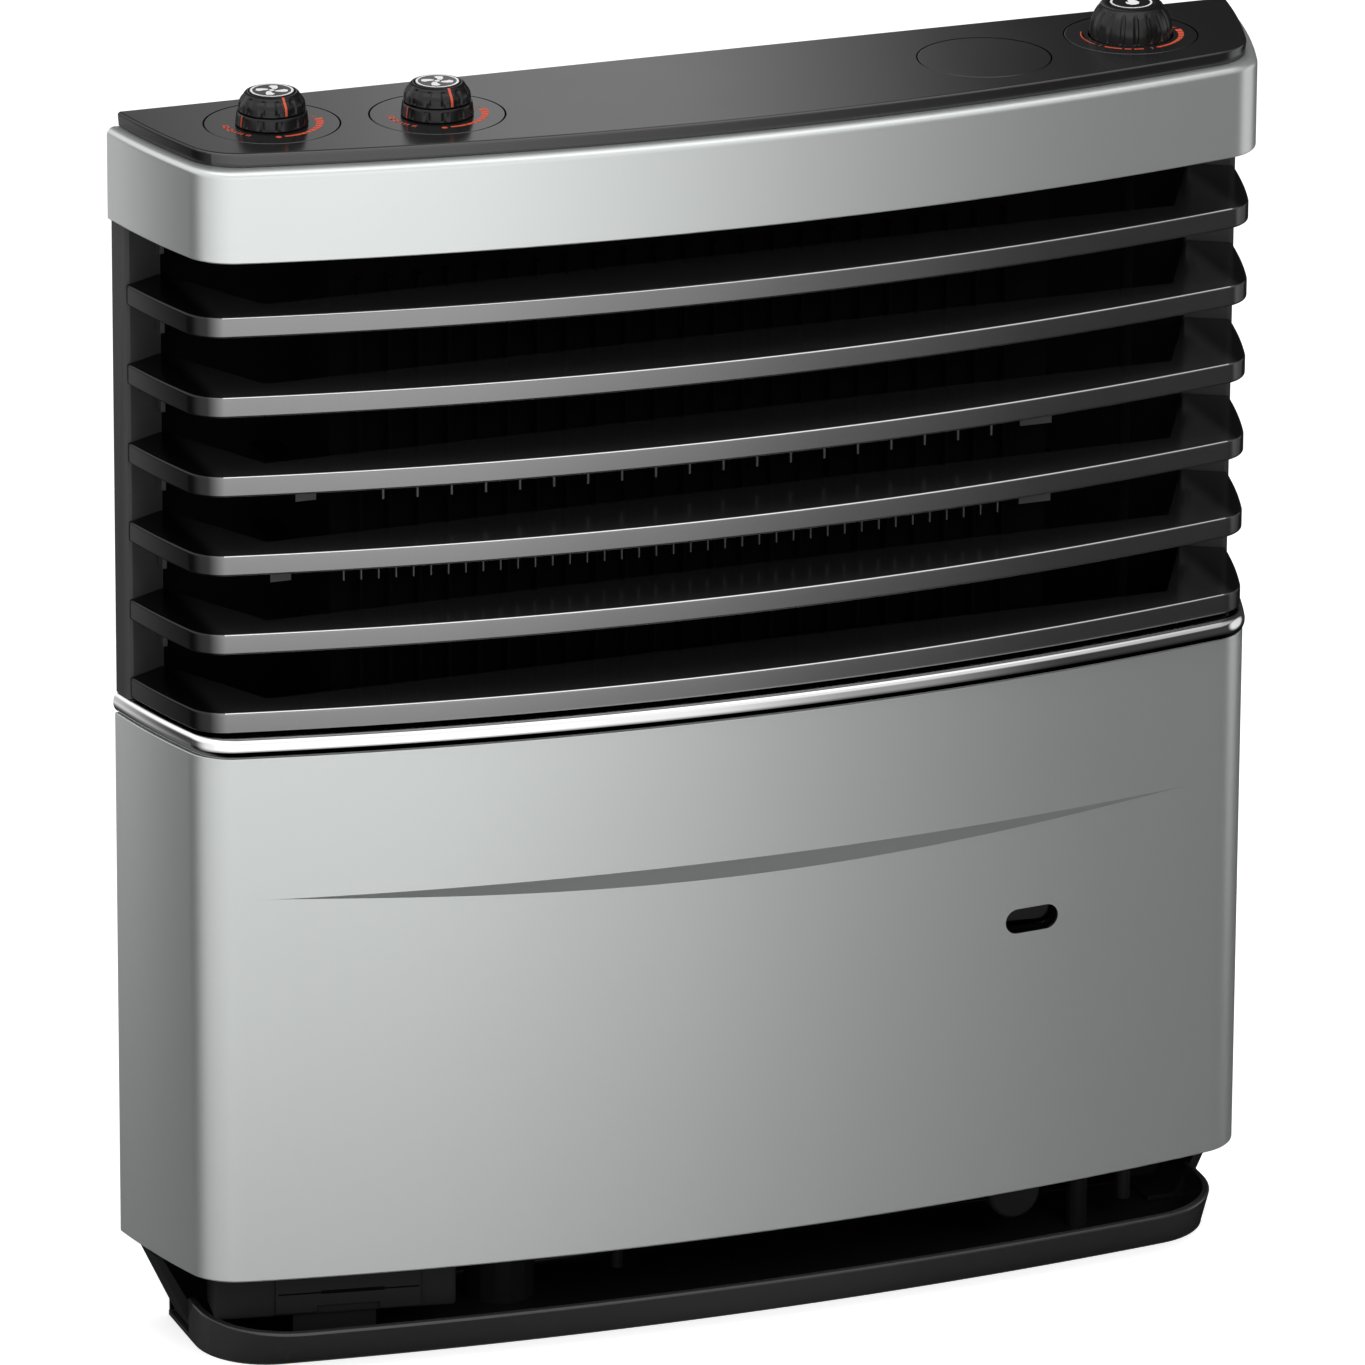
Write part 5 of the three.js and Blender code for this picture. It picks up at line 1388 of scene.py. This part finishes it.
def wall_light(x, y, z):
    """The light of the wall: what is ahead of the heater, above it and behind it."""
    ahead = product(ramp(x, *ACROSS), ramp(z, *RISING))
    upper = ramp(x, (-0.9, 0.3), (0.2, 0.28), (0.8, 0.12))
    ahead = mix_of(ramp(z, (0.24, 0.0), (0.42, 1.0)), ahead, upper)
    strip = ramp(x, (-0.9, 0.6), (0.2, 0.48), (0.8, 0.15))
    height = ramp(z, (0.68, 0.0), (0.78, 1.0), (0.9, 1.0), (0.97, 0.0))
    ahead = mix_of(height, ahead, strip)
    behind = product(ramp(x, *PAST), ramp(z, (-0.46, 0.15), (-0.2, 1.0), (0.9, 1.0)))
    corner = product(ramp(x, (-0.6, 1.0), (-0.3, 0.0)), ramp(z, (0.1, 0.0), (0.35, 1.0)))
    behind = mix_of(corner, behind, ramp(x, (-0.9, 0.3), (0.9, 0.3)))
    return mix_of(ramp(y, (-0.25, 1.0), (0.25, 0.0)), behind, ahead)


def make_wall():
    shader = new_finish("studio_light", (0, 0, 0), 1.0, specular=0)
    place = new_node(shader.id_data, "TexCoord").outputs["Object"]
    axes = new_node(shader.id_data, "SeparateXYZ", {0: place}).outputs
    feed(shader, {"Emission Color": wall_light(*axes), "Emission Strength": WALL_GLOW})
    shape = bmesh.new()
    bmesh.ops.create_uvsphere(shape, u_segments=48, v_segments=24, radius=1)
    wall = new_object("studio_wall", shape, "studio_light")
    wall.scale = (WALL_RADIUS,) * 3
    wall.location = (0, 0, WALL_MIDDLE)
    for rays in ("camera", "diffuse", "shadow", "transmission", "volume_scatter"):
        setattr(wall, f"visible_{rays}", False)
    wall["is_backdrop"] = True


make_wall()
print("wall", 2 * WALL_RADIUS, "m wide")

# %% [markdown]
# Two large lamps stand in front and above, and give soft shadows. The world is white to the
# camera and in reflections, and weaker as a light, so that shadows keep their depth.

# %% Lamps and world
def lamp(name, place, size, power):
    """A soft lamp that points at the heater's middle and isn't seen in reflections."""
    aim = Vector((0, 0, WALL_MIDDLE))
    data = bpy.data.lights.new(name, "AREA")
    data.shape, data.energy = "RECTANGLE", power
    data.size, data.size_y = size
    light = put(name, data)
    light.location = place
    light.rotation_euler = (aim - Vector(place)).to_track_quat("-Z", "Y").to_euler()
    light.visible_glossy = False


def background(tree, strength):
    inputs = {"Color": (1, 1, 1, 1), "Strength": strength}
    return new_node(tree, "Background", inputs).outputs[0]


def make_world(soft_light):
    world = bpy.data.worlds.new("studio")
    bpy.context.scene.world = world
    world.use_nodes = True
    tree = world.node_tree
    tree.nodes.clear()
    path = new_node(tree, "LightPath").outputs
    inputs = {0: path["Is Camera Ray"], 1: path["Is Glossy Ray"]}
    both = new_node(tree, "Math", inputs, operation="ADD").outputs[0]
    inputs = {0: both, 1: path["Is Transmission Ray"]}
    every = new_node(tree, "Math", inputs, operation="ADD", use_clamp=True).outputs[0]
    inputs = {0: every, 1: background(tree, soft_light), 2: background(tree, 1.0)}
    light = new_node(tree, "MixShader", inputs).outputs[0]
    new_node(tree, "OutputWorld", {"Surface": light})


lamp("key", (0.5, -3.0, 2.2), (1.6, 1.2), 26)
lamp("top", (0.2, -0.3, 2.2), (1.8, 1.2), 16)
make_world(0.45)
print("lamps and world made")

# %% [markdown]
# ## Camera
# The camera looks down on the heater from the front left with a long lens, as in the photograph.
# It turns to its heading, tilts down and rolls a little, then backs off along its own z axis.

# %% Camera
HEADING, TILT, ROLL = 0.35371, 0.34831, 0.00552
TARGET = Vector((0.002955, 0.05525, 0.289887))
DISTANCE, LENS, SENSOR = 6.0, 332.03, 36
heading, tilt, roll = (
    Matrix.Rotation(turn, 4, axis)
    for turn, axis in ((-HEADING, "Z"), (math.pi / 2 - TILT, "X"), (ROLL, "Z"))
)
facing = heading @ tilt @ roll
data = bpy.data.cameras.new("camera")
data.lens, data.sensor_width = LENS, SENSOR
data.clip_start, data.clip_end = 0.1, 60
camera = put("camera", data)
camera.matrix_world = Matrix.Translation(TARGET + facing.col[2].xyz * DISTANCE) @ facing
scene = bpy.context.scene
scene.camera = camera
scene.view_settings.view_transform = "Standard"
print("camera", DISTANCE, "m away, lens", LENS, "mm")

# The visual pieces stand in for the solids at the same size.

# %% Size of the dressed heater
low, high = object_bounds()
print("dressed size in mm", [round(v / MM, 1) for v in high - low])
